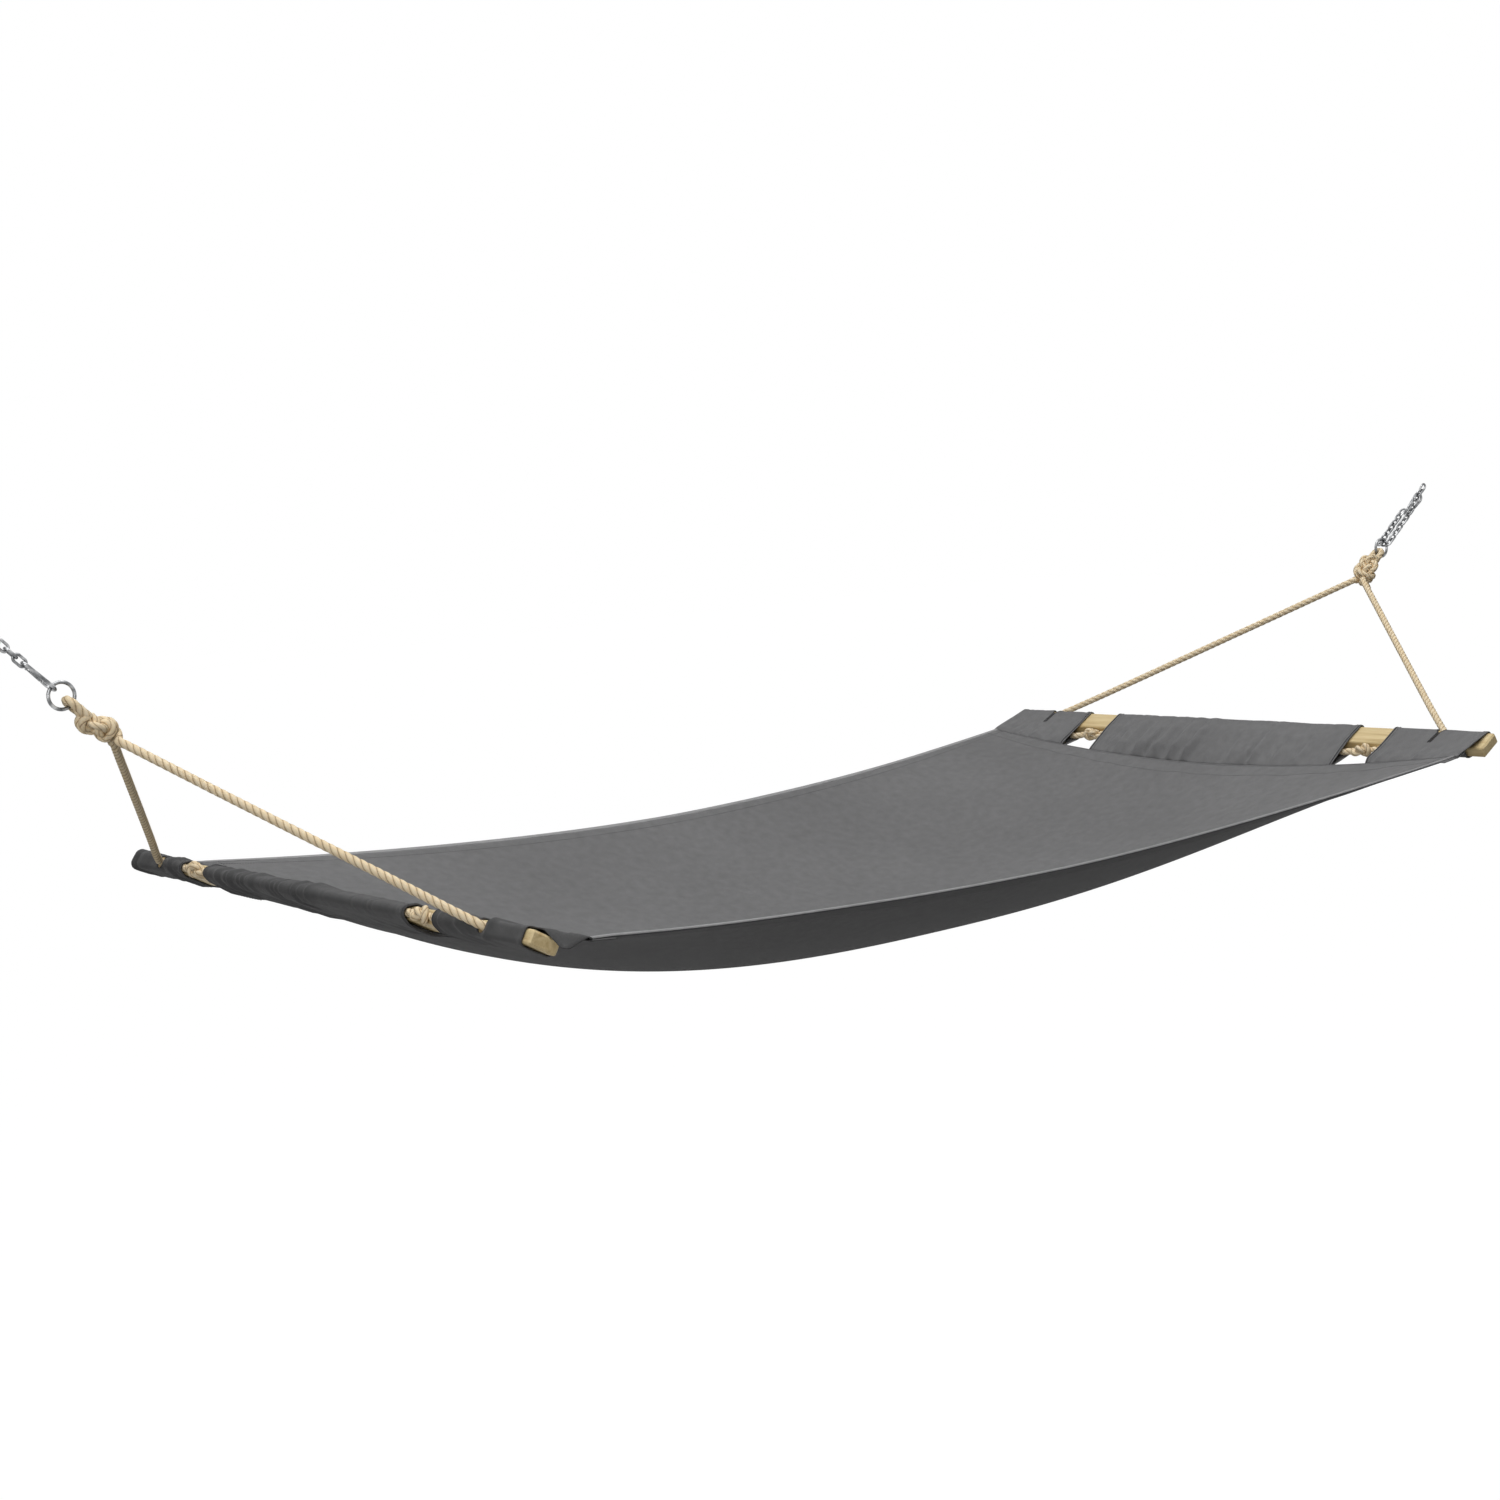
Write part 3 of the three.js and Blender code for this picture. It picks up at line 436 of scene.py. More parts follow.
def makeStage():
    scene = bpy.context.scene
    scene.view_settings.view_transform = "Standard"
    data = bpy.data.cameras.new("camera")
    data.lens, data.sensor_width, data.sensor_height = view["lens"], view["sensor"], view["sensor"]
    data.clip_end = view["farthest"]
    scene.camera = newObject("camera", data)
    angles = (-view["yaw"], math.pi / 2 - view["pitch"], view["roll"])
    yaw, pitch, roll = (Matrix.Rotation(angle, 3, axis) for angle, axis in zip(angles, "ZXZ"))
    scene.camera.matrix_world = Matrix.LocRotScale(Vector(view["place"]), yaw @ pitch @ roll, None)

    scene.world = bpy.data.worlds.new("studio")
    scene.world.use_nodes = True
    tree = scene.world.node_tree
    seen = seenBy(tree, "Is Glossy Ray", "Is Transmission Ray")
    inputs = {"Value": seen, "To Min": stage["ambient"], "To Max": 1.0}
    strength = addNode(tree, "ShaderNodeMapRange", None, inputs).outputs["Result"]
    fill(tree, tree.nodes["Background"], {"Color": (1, 1, 1, 1), "Strength": strength})

    for lamp in stage["lamps"]:
        light = bpy.data.lights.new(lamp["name"], "AREA")
        light.shape, light.size, light.energy = "DISK", lamp["size"], lamp["power"]
        place = Vector(lamp["place"])
        aim = Vector(lamp.get("aim", stage["aim"])) - place
        obj = newObject(lamp["name"], light)
        obj.matrix_world = Matrix.LocRotScale(place, aim.to_track_quat("-Z", "Y"), None)
        obj.visible_camera = False

    material, tree, shader = newMaterial("paleFloor", stage["floorColour"], {"Roughness": 0.9})
    inputs = {"Color": (1, 1, 1, 1), "Strength": stage["floorWhite"]}
    glow = addNode(tree, "ShaderNodeEmission", None, inputs).outputs["Emission"]
    share = mathNode(tree, "MULTIPLY", seenBy(tree, "Is Glossy Ray"), stage["floorGlow"])
    mix = addNode(tree, "ShaderNodeMixShader", None, {"Fac": share, 1: shader.outputs["BSDF"], 2: glow})
    fill(tree, tree.nodes["Material Output"], {"Surface": mix.outputs["Shader"]})
    half, z = stage["floorSize"] / 2, stage["floorZ"]
    corners = [(-half, -half, z), (half, -half, z), (half, half, z), (-half, half, z)]
    meshObject("floor", corners, [(0, 1, 2, 3)], material)


makeStage()
canvas = {
    part: layeredMaterial(f"canvas{part}", canvasLook, canvasFields, (shade,) * 3)
    for part, shade in canvasPaintedLight.items()
}
wood = layeredMaterial("wood", woodLook)
rope = layeredMaterial("twistedRope", ropeLook, ropeFields)
steel = layeredMaterial("zincSteel", steelLook)
thread = {name: layeredMaterial(name, threadLook, None, tone) for name, tone in threadTones.items()}
print("stage and materials made")


# Ropes. Each bridle is one line: near leg, run along the bar, far leg.
# The legs' points are the CAD model's, near side, and the far side is their mirror image.

legRoutes = {
    -1: [
        (-0.9834, -0.4514, -0.3959), (-0.9989, -0.4246, -0.3817), (-1.0145, -0.3955, -0.3664),
        (-1.0306, -0.3656, -0.3508), (-1.0470, -0.3356, -0.3351), (-1.0634, -0.3056, -0.3195),
        (-1.0798, -0.2757, -0.3039), (-1.0962, -0.2458, -0.2883), (-1.1126, -0.2160, -0.2727),
        (-1.1290, -0.1862, -0.2570), (-1.1454, -0.1564, -0.2414), (-1.1618, -0.1266, -0.2257),
        (-1.1782, -0.0970, -0.2099), (-1.1944, -0.0678, -0.1943), (-1.2098, -0.0396, -0.1794),
        (-1.2194, -0.0220, -0.1701), (-1.2248, -0.0158, -0.1660), (-1.2308, -0.0090, -0.1601),
        (-1.2383, -0.0065, -0.1526),
    ],
    1: [
        (0.9854, -0.4494, -0.3964), (1.0064, -0.4238, -0.3836), (1.0306, -0.3946, -0.3686),
        (1.0549, -0.3658, -0.3534), (1.0792, -0.3371, -0.3381), (1.1036, -0.3085, -0.3228),
        (1.1280, -0.2798, -0.3074), (1.1524, -0.2512, -0.2921), (1.1768, -0.2225, -0.2767),
        (1.2012, -0.1938, -0.2613), (1.2256, -0.1651, -0.2460), (1.2500, -0.1364, -0.2306),
        (1.2744, -0.1077, -0.2152), (1.2988, -0.0790, -0.1998), (1.3230, -0.0505, -0.1846),
        (1.3452, -0.0244, -0.1706), (1.3545, -0.0135, -0.1648), (1.3610, -0.0083, -0.1604),
        (1.3684, -0.0065, -0.1549),
    ],
}

ropeRun = {
    "gap": 0.0004,
    "behind": -0.0292,          # beside the bar's inner edge
    "exitRadius": 0.014,
    "turnRadius": 0.0075,
    "cornerReach": 0.011,       # from the bar's corner arc to the rope's centre
    "leftTurn": math.radians(-40),
    "windingSteps": 3,
    "arcSteps": 8,
    "holeClear": 0.020,
    "askew": (0.31, 0.17, 0.93),        # along no stretch of rope
}


def between(p, q, low, high, t):
    # p at low, q at high
    return (high - t) / (high - low) * p + (t - low) / (high - low) * q


def smoothLine(points, perSpan=24):
    # centripetal Catmull-Rom through every point
    points = np.asarray(points, float)
    ends = [2 * points[0] - points[1], *points, 2 * points[-1] - points[-2]]
    line = [points[0]]
    for p0, p1, p2, p3 in zip(ends, ends[1:], ends[2:], ends[3:]):
        t1 = np.linalg.norm(p1 - p0) ** 0.5
        t2 = t1 + np.linalg.norm(p2 - p1) ** 0.5
        t3 = t2 + np.linalg.norm(p3 - p2) ** 0.5
        for t in np.linspace(t1, t2, perSpan + 1)[1:]:
            a, b = between(p0, p1, 0, t1, t), between(p1, p2, t1, t2, t)
            c = between(p2, p3, t2, t3, t)
            line.append(between(between(a, b, 0, t2, t), between(b, c, t1, t3, t), t1, t2, t))
    return np.array(line)


def roundedRoute(corners, radii):
    # straight stretches joined by arcs
    points = [corners[0]]
    for i, radius in enumerate(radii, 1):
        back, ahead = unit(corners[i - 1] - corners[i]), unit(corners[i + 1] - corners[i])
        turn = math.pi - math.acos(max(-1.0, min(1.0, float(back @ ahead))))
        if turn < 1e-4:
            points.append(corners[i])
            continue
        centre = corners[i] + unit(back + ahead) * radius / math.cos(turn / 2)
        first = corners[i] + back * radius * math.tan(turn / 2) - centre
        axis = Vector(-unit(np.cross(back, ahead)))
        for k in range(ropeRun["arcSteps"] + 1):
            spun = Matrix.Rotation(turn * k / ropeRun["arcSteps"], 3, axis) @ Vector(first)
            points.append(centre + np.array(spun))
    points.append(corners[-1])
    return np.array(points)


def leftRunPlace(y):
    # the left rope winds from the inner hole's mouth onto the bar's outer upper corner
    share = np.clip((bar["innerHoleY"] - np.abs(y)) / (bar["innerHoleY"] - bar["windowNear"]), 0, 1)
    turn = ropeRun["leftTurn"] * share
    edge, face = barCorner()
    return edge + ropeRun["cornerReach"] * np.cos(turn), face * share + ropeRun["cornerReach"] * np.sin(turn)


def runLine(side):
    first, second = (np.array(p) for p in legRoutes[side][:2])
    pull = unit(second - first)
    mouth = first - pull * (first[1] + bar["holeY"]) / pull[1]
    corners = [first, mouth, onBar(side, -bar["holeY"], ropeRun["behind"], 0)]
    radii = [ropeRun["exitRadius"], ropeRun["turnRadius"]]
    if side < 0:
        corners.append(onBar(side, -bar["innerHoleY"], ropeRun["behind"], 0))
        stops = np.linspace(-bar["innerHoleY"], -bar["windowNear"], ropeRun["windingSteps"] + 1)
        corners += [onBar(side, y, *leftRunPlace(y)) for y in stops]
        radii += [ropeRun["turnRadius"]] * (len(corners) - 3)
    mirror = [corner * (1, -1, 1) for corner in reversed(corners)]
    return roundedRoute(corners + mirror, radii + radii[::-1])


def lineFrames(points):
    # a normal carried along the line without turning about it
    tangents = unit(np.gradient(points, axis=0))
    normal = unit(np.cross(tangents[0], ropeRun["askew"]))
    normals = [normal]
    for i in range(len(points) - 1):
        step = points[i + 1] - points[i]
        size = step @ step
        if size > 0:
            normal = normal - 2 / size * (step @ normal) * step
            tangent = tangents[i] - 2 / size * (step @ tangents[i]) * step
            turn = tangents[i + 1] - tangent
            if turn @ turn > 1e-18:
                normal = normal - 2 / (turn @ turn) * (turn @ normal) * turn
        normals.append(unit(normal))
    return tangents, np.array(normals)


def strandOutline(angles):
    # radius of a rope of three strands, and how deep each place lies between two strands, for the painted
    # shade in the grooves
    third = math.tau / 3
    off = np.append((np.mod(angles + third / 2, third) - third / 2).ravel(), third / 2)
    centre, radius = ropeLook["strandCentre"], ropeLook["strandRadius"]
    reach = centre * np.cos(off) + np.sqrt(radius ** 2 - (centre * np.sin(off)) ** 2)
    paintedGrooveShade = (ropeLook["radius"] - reach) / (ropeLook["radius"] - reach[-1])
    return reach[:-1].reshape(angles.shape), paintedGrooveShade[:-1]


def cappedTube(rings):
    # the vertices and faces of a closed tube through these rings of points
    rows, count = rings.shape[:2]
    i, k = np.meshgrid(np.arange(rows - 1), np.arange(count), indexing="ij")
    n = (k + 1) % count
    quads = [i * count + k, i * count + n, (i + 1) * count + n, (i + 1) * count + k]
    faces = np.stack(quads, axis=-1).reshape(-1, 4).tolist()
    caps = [list(range(count))[::-1], list(range((rows - 1) * count, rows * count))]
    return rings.reshape(-1, 3), faces + caps


def ropeTube(points, normals, tangents, start, scale):
    # vertices, faces, uvs and groove depths of a twisted rope along the points; the depths paint shade into
    # the grooves
    lengths = start + runningLengths(points)
    angles = np.linspace(0, math.tau, ropeLook["sides"], endpoint=False)
    third = np.cross(tangents, normals)
    reach, paintedGrooveShade = strandOutline(angles[None, :] - (math.tau * lengths / ropeLook["lay"])[:, None])
    reach = reach * scale[:, None]
    c, s = np.cos(angles)[None, :, None], np.sin(angles)[None, :, None]
    offsets = normals[:, None] * c + third[:, None] * s
    around = (angles * ropeLook["radius"])[None, :]
    uvs = np.stack(np.broadcast_arrays(around, lengths[:, None]), axis=-1).reshape(-1, 2)
    return *cappedTube(points[:, None] + offsets * reach[..., None]), uvs, paintedGrooveShade


def nodeFrame(name):
    # centre, long axis, cross axis and flat axis of a link or a ring
    corners = np.array([v.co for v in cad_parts[name].data.vertices])
    centre = corners.mean(axis=0)
    axes = np.linalg.eigh(np.cov((corners - centre).T))[1]
    return centre, axes[:, 2], np.cross(axes[:, 0], axes[:, 2]), axes[:, 0]


tightening = {
    "looseness": 2.4,           # size of the loosely laid knot, in thicknesses
    "gap": 0.25,                # radians of the loop that its two ends leave open
    "loopPoints": 160,
    "share": 0.75,              # of the rounds, before the knot is at its tightest
    "passes": 6,
    "lookEvery": 4,             # rounds between two searches for touching points
    "apart": 1.45,              # thicknesses along the rope, under which two points may touch
    "watched": 1.8,
    "pull": 0.9,
    "push": 1.3,
    "stiffness": 0.12,
    "centring": 0.06,
}
leftKnot = {
    "strand": 0.0092,           # the rope's thickness where it is drawn tight
    "tightLength": 0.205,       # of each of the two strands in the knot, for a strand of that thickness
    "strandPoints": 62,
    "rounds": 1400,
    "easing": 6,                # points over which the rope gets its full thickness again
    "step": 0.004,
    "aside": 0.53,              # thicknesses, from the pair's middle to each strand
    "fromRing": 0.085,
    "legEnd": -0.004,
    "eyeStart": 0.044,
    "eyeHalf": 0.0088,
    "eyeReach": 0.0675,
    "eyePoints": 14,
    "perSpan": 5,
}
rightKnot = {**leftKnot, "strand": 0.0104, "tightLength": 0.227, "legEnd": -0.008, "eyeStart": 0.048}
tail = {
    "start": 0.020,
    "length": 0.040,
    "bend": (-0.75, -0.30, -0.55),
    "bendShare": 0.4,
    "down": (-0.25, -0.30, -1.0),
    "thickness": 0.86,
    "fray": 0.12,               # how much wider the last fifth gets
    "perSpan": 8,
}
windowKnot = {
    "strand": 0.0088,
    "tightLength": 0.112,
    "strandPoints": 46,
    "rounds": 900,
    "half": 0.0235,             # half the rope run's length that the knot takes up
    "heldLength": 0.030,
    "middle": 0.3259,
    "easing": 5,
    "step": 0.003,
    "perSpan": 4,
    "height": 0.0178,
    "droop": 0.011,             # how far the right rope hangs off its bar in the windows
    "droopLength": 0.026,
    "droopPast": {-1: 0.040, 1: 0.041},
}


def hangingLine(end):
    # where the bridle's legs cross, and the axes along, across and over the line from there to the end link
    middle = nodeFrame(f"{end}_ring")[0]
    along = unit(nodeFrame(f"{end}_end_link")[0] - middle)
    across = np.array([0.0, 1.0, 0.0])
    return middle - along * leftKnot["fromRing"], np.array([along, across, np.cross(along, across)])


def looseOverhand(size):
    # an overhand knot laid out loosely, its two ends leaving each way
    turn = np.linspace(tightening["gap"], math.tau - tightening["gap"], tightening["loopPoints"])
    reach = 2 + np.cos(3 * turn)
    loop = np.column_stack([reach * np.cos(2 * turn), reach * np.sin(2 * turn), np.sin(3 * turn)])
    lead = np.array([
        (3.9, 6.0, 0.0), (3.9, 3.0, 0.0), (3.9, 1.6, 0.1),
        (3.75, 0.95, 0.3), (3.3, 0.6, 0.5), (2.75, 0.8, 0.65),
    ])
    line = np.concatenate([lead, loop, lead[::-1] * (1, -1, -1)]) - (3.9, 0, 0)
    line = line[:, [1, 0, 2]] * tightening["looseness"] * size["strand"]
    return evenSteps(line, lineLength(line) / size["strandPoints"])


def drawnKnot(parts, size, wall=None):
    # points and radii once each held part has moved from its first place to its last, and where the
    # parts end; a free part has no first place
    marks = np.cumsum([len(last) for last, _ in parts])
    held = np.concatenate([np.full(len(last), first is not None) for last, first in parts])
    last = np.concatenate([last for last, _ in parts])
    first = np.concatenate([last if first is None else first for last, first in parts])
    thin = size["strand"] / 2
    radius = np.where(held, ropeLook["radius"], thin)
    for i in range(1, len(parts), 2):
        for edge, way in ((marks[i - 1], 1), (marks[i] - 1, -1)):
            for k in range(size["easing"]):
                share = (k + 0.5) / size["easing"]
                radius[edge + way * k] = ropeLook["radius"] * (1 - share) + thin * share
    return drawTight(first, last, held, radius, size, wall), radius, marks


def tiedKnot(leg, size):
    # two strands side by side in an overhand knot, drawn tight between the legs and the eye, in the
    # hanging line's own axes: along it, across it and over it
    base = looseOverhand(size)
    tangent = unit(np.gradient(base, axis=0))
    aside = unit(np.column_stack([-tangent[:, 1], tangent[:, 0], 0 * tangent[:, 0]]))
    aside = aside * size["aside"] * size["strand"]
    low, high = sorted([base + aside, base - aside], key=lambda strand: strand[-1, 1])
    turn = np.linspace(0, math.pi, size["eyePoints"])
    half = size["eyeHalf"] * (1 if low[0, 1] > high[0, 1] else -1)
    start = [size["eyeStart"]]
    reach = np.concatenate([start, size["eyeReach"] + size["eyeHalf"] * np.sin(turn), start])
    eye = np.column_stack([reach, half * np.array([1, *np.cos(turn), -1]), 0 * reach])
    eye, leg = evenSteps(eye, size["step"]), evenSteps(leg, size["step"])
    leg = leg[leg[:, 0] < size["legEnd"]]

    def legPart(points, strand):
        along = points[:, 0] + (base[-1, 0] - leg[-1, 0])
        return points, np.column_stack([along, 0 * along + strand[-1, 1], 0 * along])

    return drawnKnot([
        legPart(leg, low), (low[::-1], None), (eye, eye + (base[0, 0] - eye[0, 0], 0, 0)), (high, None),
        legPart((leg * (1, -1, 1))[::-1], high),
    ], size)


def tiedWindowKnot():
    # one strand in an overhand knot beside a bar: along the bar, across it and away from it
    base = looseOverhand(windowKnot)
    if base[0, 0] > base[-1, 0]:
        base = base[::-1]
    step = windowKnot["step"]
    after = evenSteps(np.array([(0, 0, 0), (windowKnot["heldLength"], 0, 0)], float), step)
    after = after + (windowKnot["half"], 0, 0)
    before = after[::-1] * (-1, 1, 1)
    points, radius, marks = drawnKnot([
        (before, before + (base[0, 0] - before[-1, 0] - step, 0, 0)), (base, None),
        (after, after + (base[-1, 0] - after[0, 0] + step, 0, 0)),
    ], windowKnot, -ropeLook["radius"] - ropeRun["gap"])
    return points[marks[0] - 1:marks[1] + 1], radius[marks[0] - 1:marks[1] + 1]


def lengthOf(rows):
    return np.sqrt((rows ** 2).sum(axis=-1))


def drawTight(first, last, held, radius, size, wall=None):
    # shortens the free points' spans while the held ones move in, and keeps the strands apart
    points = first.copy()
    loose = (~held).astype(float)
    spans = np.linalg.norm(np.diff(points, axis=0), axis=1)
    shortest = size["tightLength"] / size["strandPoints"]
    touch = radius[:, None] + radius[None, :]
    able = np.triu(~(held[:, None] & held[None, :]), 1)
    moving = (loose[:-1] + loose[1:]) > 0
    groups = [np.nonzero(moving[k::2])[0] * 2 + k for k in (0, 1)]
    for step in range(size["rounds"]):
        share = eased(step / (tightening["share"] * size["rounds"]))
        points[held] = first[held] * (1 - share) + last[held] * share
        rest = spans * (1 - share) + shortest * share
        if step % tightening["lookEvery"] == 0:
            along = runningLengths(points)
            apart = np.abs(along[:, None] - along[None, :]) > tightening["apart"] * touch
            near = lengthOf(points[:, None] - points[None, :]) < touch * tightening["watched"]
            one, other = np.nonzero(able & apart & near)
        for _ in range(tightening["passes"]):
            for low in groups:
                gap = points[low + 1] - points[low]
                long = lengthOf(gap) + 1e-9
                pull = (long - rest[low]) / long / (loose[low] + loose[low + 1]) * tightening["pull"]
                points[low] += gap * pull[:, None] * loose[low][:, None]
                points[low + 1] -= gap * pull[:, None] * loose[low + 1][:, None]
            middle = (points[:-2] + points[2:]) / 2
            points[1:-1] += (middle - points[1:-1]) * tightening["stiffness"] * loose[1:-1, None]
            gap = points[one] - points[other]
            long = lengthOf(gap) + 1e-9
            deep = long < touch[one, other]
            a, b = one[deep], other[deep]
            push = gap[deep] * ((touch[a, b] - long[deep]) / long[deep] / (loose[a] + loose[b]))[:, None]
            shift, hits = np.zeros_like(points), np.zeros(len(points))
            for ends, way in ((a, 1), (b, -1)):
                np.add.at(shift, ends, way * push * loose[ends][:, None])
            for ends in (a, b):
                np.add.at(hits, ends, 1)
            points += shift / np.maximum(hits, 1)[:, None] * tightening["push"]
            if wall is not None:
                roof = wall + size["height"] - radius
                points[~held, 2] = np.clip(points[~held, 2], (wall + radius)[~held], roof[~held])
        middle = points[~held].mean(axis=0)
        points[~held] -= middle * (0, tightening["centring"], tightening["centring"])
    return points


def smoothRope(points, radius, perSpan):
    # more points along the rope, and its thickness there as a share of the loose rope's
    smooth = smoothLine(points, perSpan)
    at = np.arange(len(smooth)) / perSpan
    return smooth, np.interp(at, np.arange(len(points)), radius) / ropeLook["radius"]


def ropeDroop(y):
    # how far the right rope hangs off its bar beside each window
    places = [way * windowKnot["middle"] + past for way, past in windowKnot["droopPast"].items()]
    shares = (np.exp(-((y - place) / windowKnot["droopLength"]) ** 2) for place in places)
    return windowKnot["droop"] * sum(shares)


def runWithKnots(side):
    # the rope along the bar, with a knot tied in it in each window, and its thickness all along
    line = evenSteps(runLine(side), ropeLook["ringStep"])
    zero = onBar(side, 0, 0, 0)
    if side > 0:
        outward = onBar(side, 0, -1, 0) - zero
        hung = np.abs(line[:, 1]) < bar["holeY"] - ropeRun["holeClear"]
        line[hung] += ropeDroop(line[hung, 1])[:, None] * outward
    else:
        outward = onBar(side, 0, math.cos(ropeRun["leftTurn"]), math.sin(ropeRun["leftTurn"])) - zero
    scale = np.ones(len(line))
    knot, radius = tiedWindowKnot()
    smooth, thick = smoothRope(knot, radius, windowKnot["perSpan"])
    for place in (windowKnot["middle"], -windowKnot["middle"]):
        inside = np.nonzero(np.abs(line[:, 1] - place) < windowKnot["half"])[0]
        low, high = inside[0] - 1, inside[-1] + 1
        start, stop = line[low], line[high]
        along = unit(stop - start)
        out = unit(outward - along * (outward @ along))
        axes = np.array([along, np.cross(out, along), out])
        way = -1 if place > 0 else 1
        shape = (smooth * (way, 1, 1))[::way]
        reach = shape[-1, 0] - shape[0, 0]
        share = np.clip((shape[:, 0] - shape[0, 0]) / reach, 0, 1)
        past = shape[:, 0] - (shape[0, 0] + share * reach)
        placed = start + (stop - start) * share[:, None] + (shape * (0, 1, 1)) @ axes + past[:, None] * along
        line = np.concatenate([line[:low], placed, line[high + 1:]])
        scale = np.concatenate([scale[:low], thick[::way], scale[high + 1:]])
    even = evenSteps(line, ropeLook["ringStep"])
    return even, evenValues(line, scale, len(even))


def makeBridleRopes(side, end):
    # one rope: near leg, along the bar, far leg, knot, eye, knot, and back to the near leg
    start, axes = hangingLine(end)
    leg = smoothLine(legRoutes[side])
    knot, radius, marks = tiedKnot((leg - start) @ axes.T, rightKnot if side > 0 else leftKnot)
    knot = knot @ axes + start
    low, high = marks[0] - 1, marks[3] + 1
    smooth, thick = smoothRope(knot[low:high], radius[low:high], leftKnot["perSpan"])
    tied = evenSteps(smooth, ropeLook["ringStep"])
    thick = evenValues(smooth, thick, len(tied))
    stop = int(np.argmin(np.linalg.norm(leg - knot[low], axis=1)))
    near = evenSteps(np.concatenate([leg[:stop], knot[low][None]])[::-1], ropeLook["ringStep"])
    run, runScale = runWithKnots(side)
    whole = np.concatenate([near, run[1:-1], near[::-1] * (1, -1, 1), tied[::-1][1:]])
    tangents, normals = lineFrames(whole)
    lengths = runningLengths(whole)
    first, second, third = len(near), len(near) + len(run) - 2, 2 * len(near) + len(run) - 2
    normals = closedTwist(normals, tangents, lengths, third)
    scale = np.ones(len(whole))
    scale[first:second] = runScale[1:-1]
    scale[third - 1:] = thick[::-1]
    made = {}
    for name, low, high, nodes in (
        ("near_leg", 0, first, ["near_leg"]),
        ("bar_run", first - 1, second + 1, ["bar_run"]),
        ("far_leg", second, third, ["far_leg"]),
        ("tied_knot", third - 1, len(whole), ["knot", "eye"]),
    ):
        path, ahead, across = (rows[low:high] for rows in (whole, tangents, normals))
        shape = ropeTube(path, across, ahead, lengths[low], scale[low:high])
        if name == "tied_knot" and side > 0:
            shape = withTail(shape, start + axes[0] * tail["start"])
        obj = meshObject(f"{end}_{name}", shape[0], shape[1], rope, *shape[2:])
        settle(obj, "hammock", "rope", *(f"{end}_rope_{node}" for node in nodes))
        made[name] = (obj, path)
    return made


def withTail(shape, start):
    # the rope's cut end, hanging out of the knot
    bend, down = unit(np.array(tail["bend"])), unit(np.array(tail["down"]))
    points = [start, start + bend * tail["bendShare"] * tail["length"], start + down * tail["length"]]
    points = evenSteps(smoothLine(points, tail["perSpan"]), ropeLook["ringStep"])
    tangents, normals = lineFrames(points)
    spread = 1 + tail["fray"] * np.clip(np.linspace(-4, 1, len(points)), 0, 1)
    end = ropeTube(points, normals, tangents, 0, tail["thickness"] * spread)
    faces = shape[1] + [[i + len(shape[0]) for i in face] for face in end[1]]
    vertices, uvs, paintedGrooveShade = (np.concatenate([shape[k], end[k]]) for k in (0, 2, 3))
    return vertices, faces, uvs, paintedGrooveShade


def closedTwist(normals, tangents, lengths, start):
    # turns the frames a little along the knot, so that the strands meet where the rope closes
    across = np.cross(tangents, normals)
    angle = math.tau * lengths[-1] / ropeLook["lay"]
    strand = normals[-1] * math.cos(angle) + across[-1] * math.sin(angle)
    miss = math.atan2(strand @ across[0], strand @ normals[0])
    miss = (miss + math.pi / 3) % (math.tau / 3) - math.pi / 3
    turn = -miss * np.clip((lengths - lengths[start]) / (lengths[-1] - lengths[start]), 0, 1)
    return normals * np.cos(turn)[:, None] + across * np.sin(turn)[:, None]


bridles = {end: makeBridleRopes(side, end) for end, side in (("left", -1), ("right", 1))}
for end, parts in bridles.items():
    for name, exitEnd in (("near_leg", -1), ("far_leg", 0)):
        obj, path = parts[name]
        path = path[::-1] if exitEnd else path
        round(lineLength(path), 3)
        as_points(path)
print("ropes made")


# Bed and hems

def thickSheet(outer, inner, keep):
    # a closed sheet between two grids of points, with walls round every edge and hole
    rows, count = outer.shape[:2]
    under = rows * count
    grid = np.arange(under).reshape(rows, count)
    kept = np.pad(keep, 1)
    corners = np.stack([grid[:-1, :-1], grid[:-1, 1:], grid[1:, 1:], grid[1:, :-1]], axis=-1)[keep]
    faces = [corners, (corners + under)[:, ::-1]]
    for gridA, gridB, low, high in (
        (grid[:, :-1], grid[:, 1:], kept[:-1, 1:-1], kept[1:, 1:-1]),
        (grid[1:, :], grid[:-1, :], kept[1:-1, :-1], kept[1:-1, 1:]),
    ):
        for edges, a, b in ((high & ~low, gridB, gridA), (low & ~high, gridA, gridB)):
            a, b = a[edges], b[edges]
            faces.append(np.stack([a, b, b + under, a + under], axis=-1))
    return np.concatenate([outer.reshape(-1, 3), inner.reshape(-1, 3)]), np.concatenate(faces)


def sheetObject(name, outer, inner, material, uv, keep=None):
    if keep is None:
        keep = np.ones((outer.shape[0] - 1, outer.shape[1] - 1), bool)
    vertices, faces = thickSheet(outer, inner, keep)
    obj = meshObject(name, vertices, faces, material, np.tile(uv.reshape(-1, 2), (2, 1)))
    unused = np.ones(len(vertices), bool)
    unused[faces.ravel()] = False
    if unused.any():
        work = bmesh.new()
        work.from_mesh(obj.data)
        work.verts.ensure_lookup_table()
        bmesh.ops.delete(work, geom=[work.verts[i] for i in np.nonzero(unused)[0]], context="VERTS")
        work.to_mesh(obj.data)
        work.free()
    return obj


def secondMaterial(obj, material, chosen):
    obj.data.materials.append(material)
    for face in obj.data.polygons:
        face.material_index = int(chosen(face.normal.z))


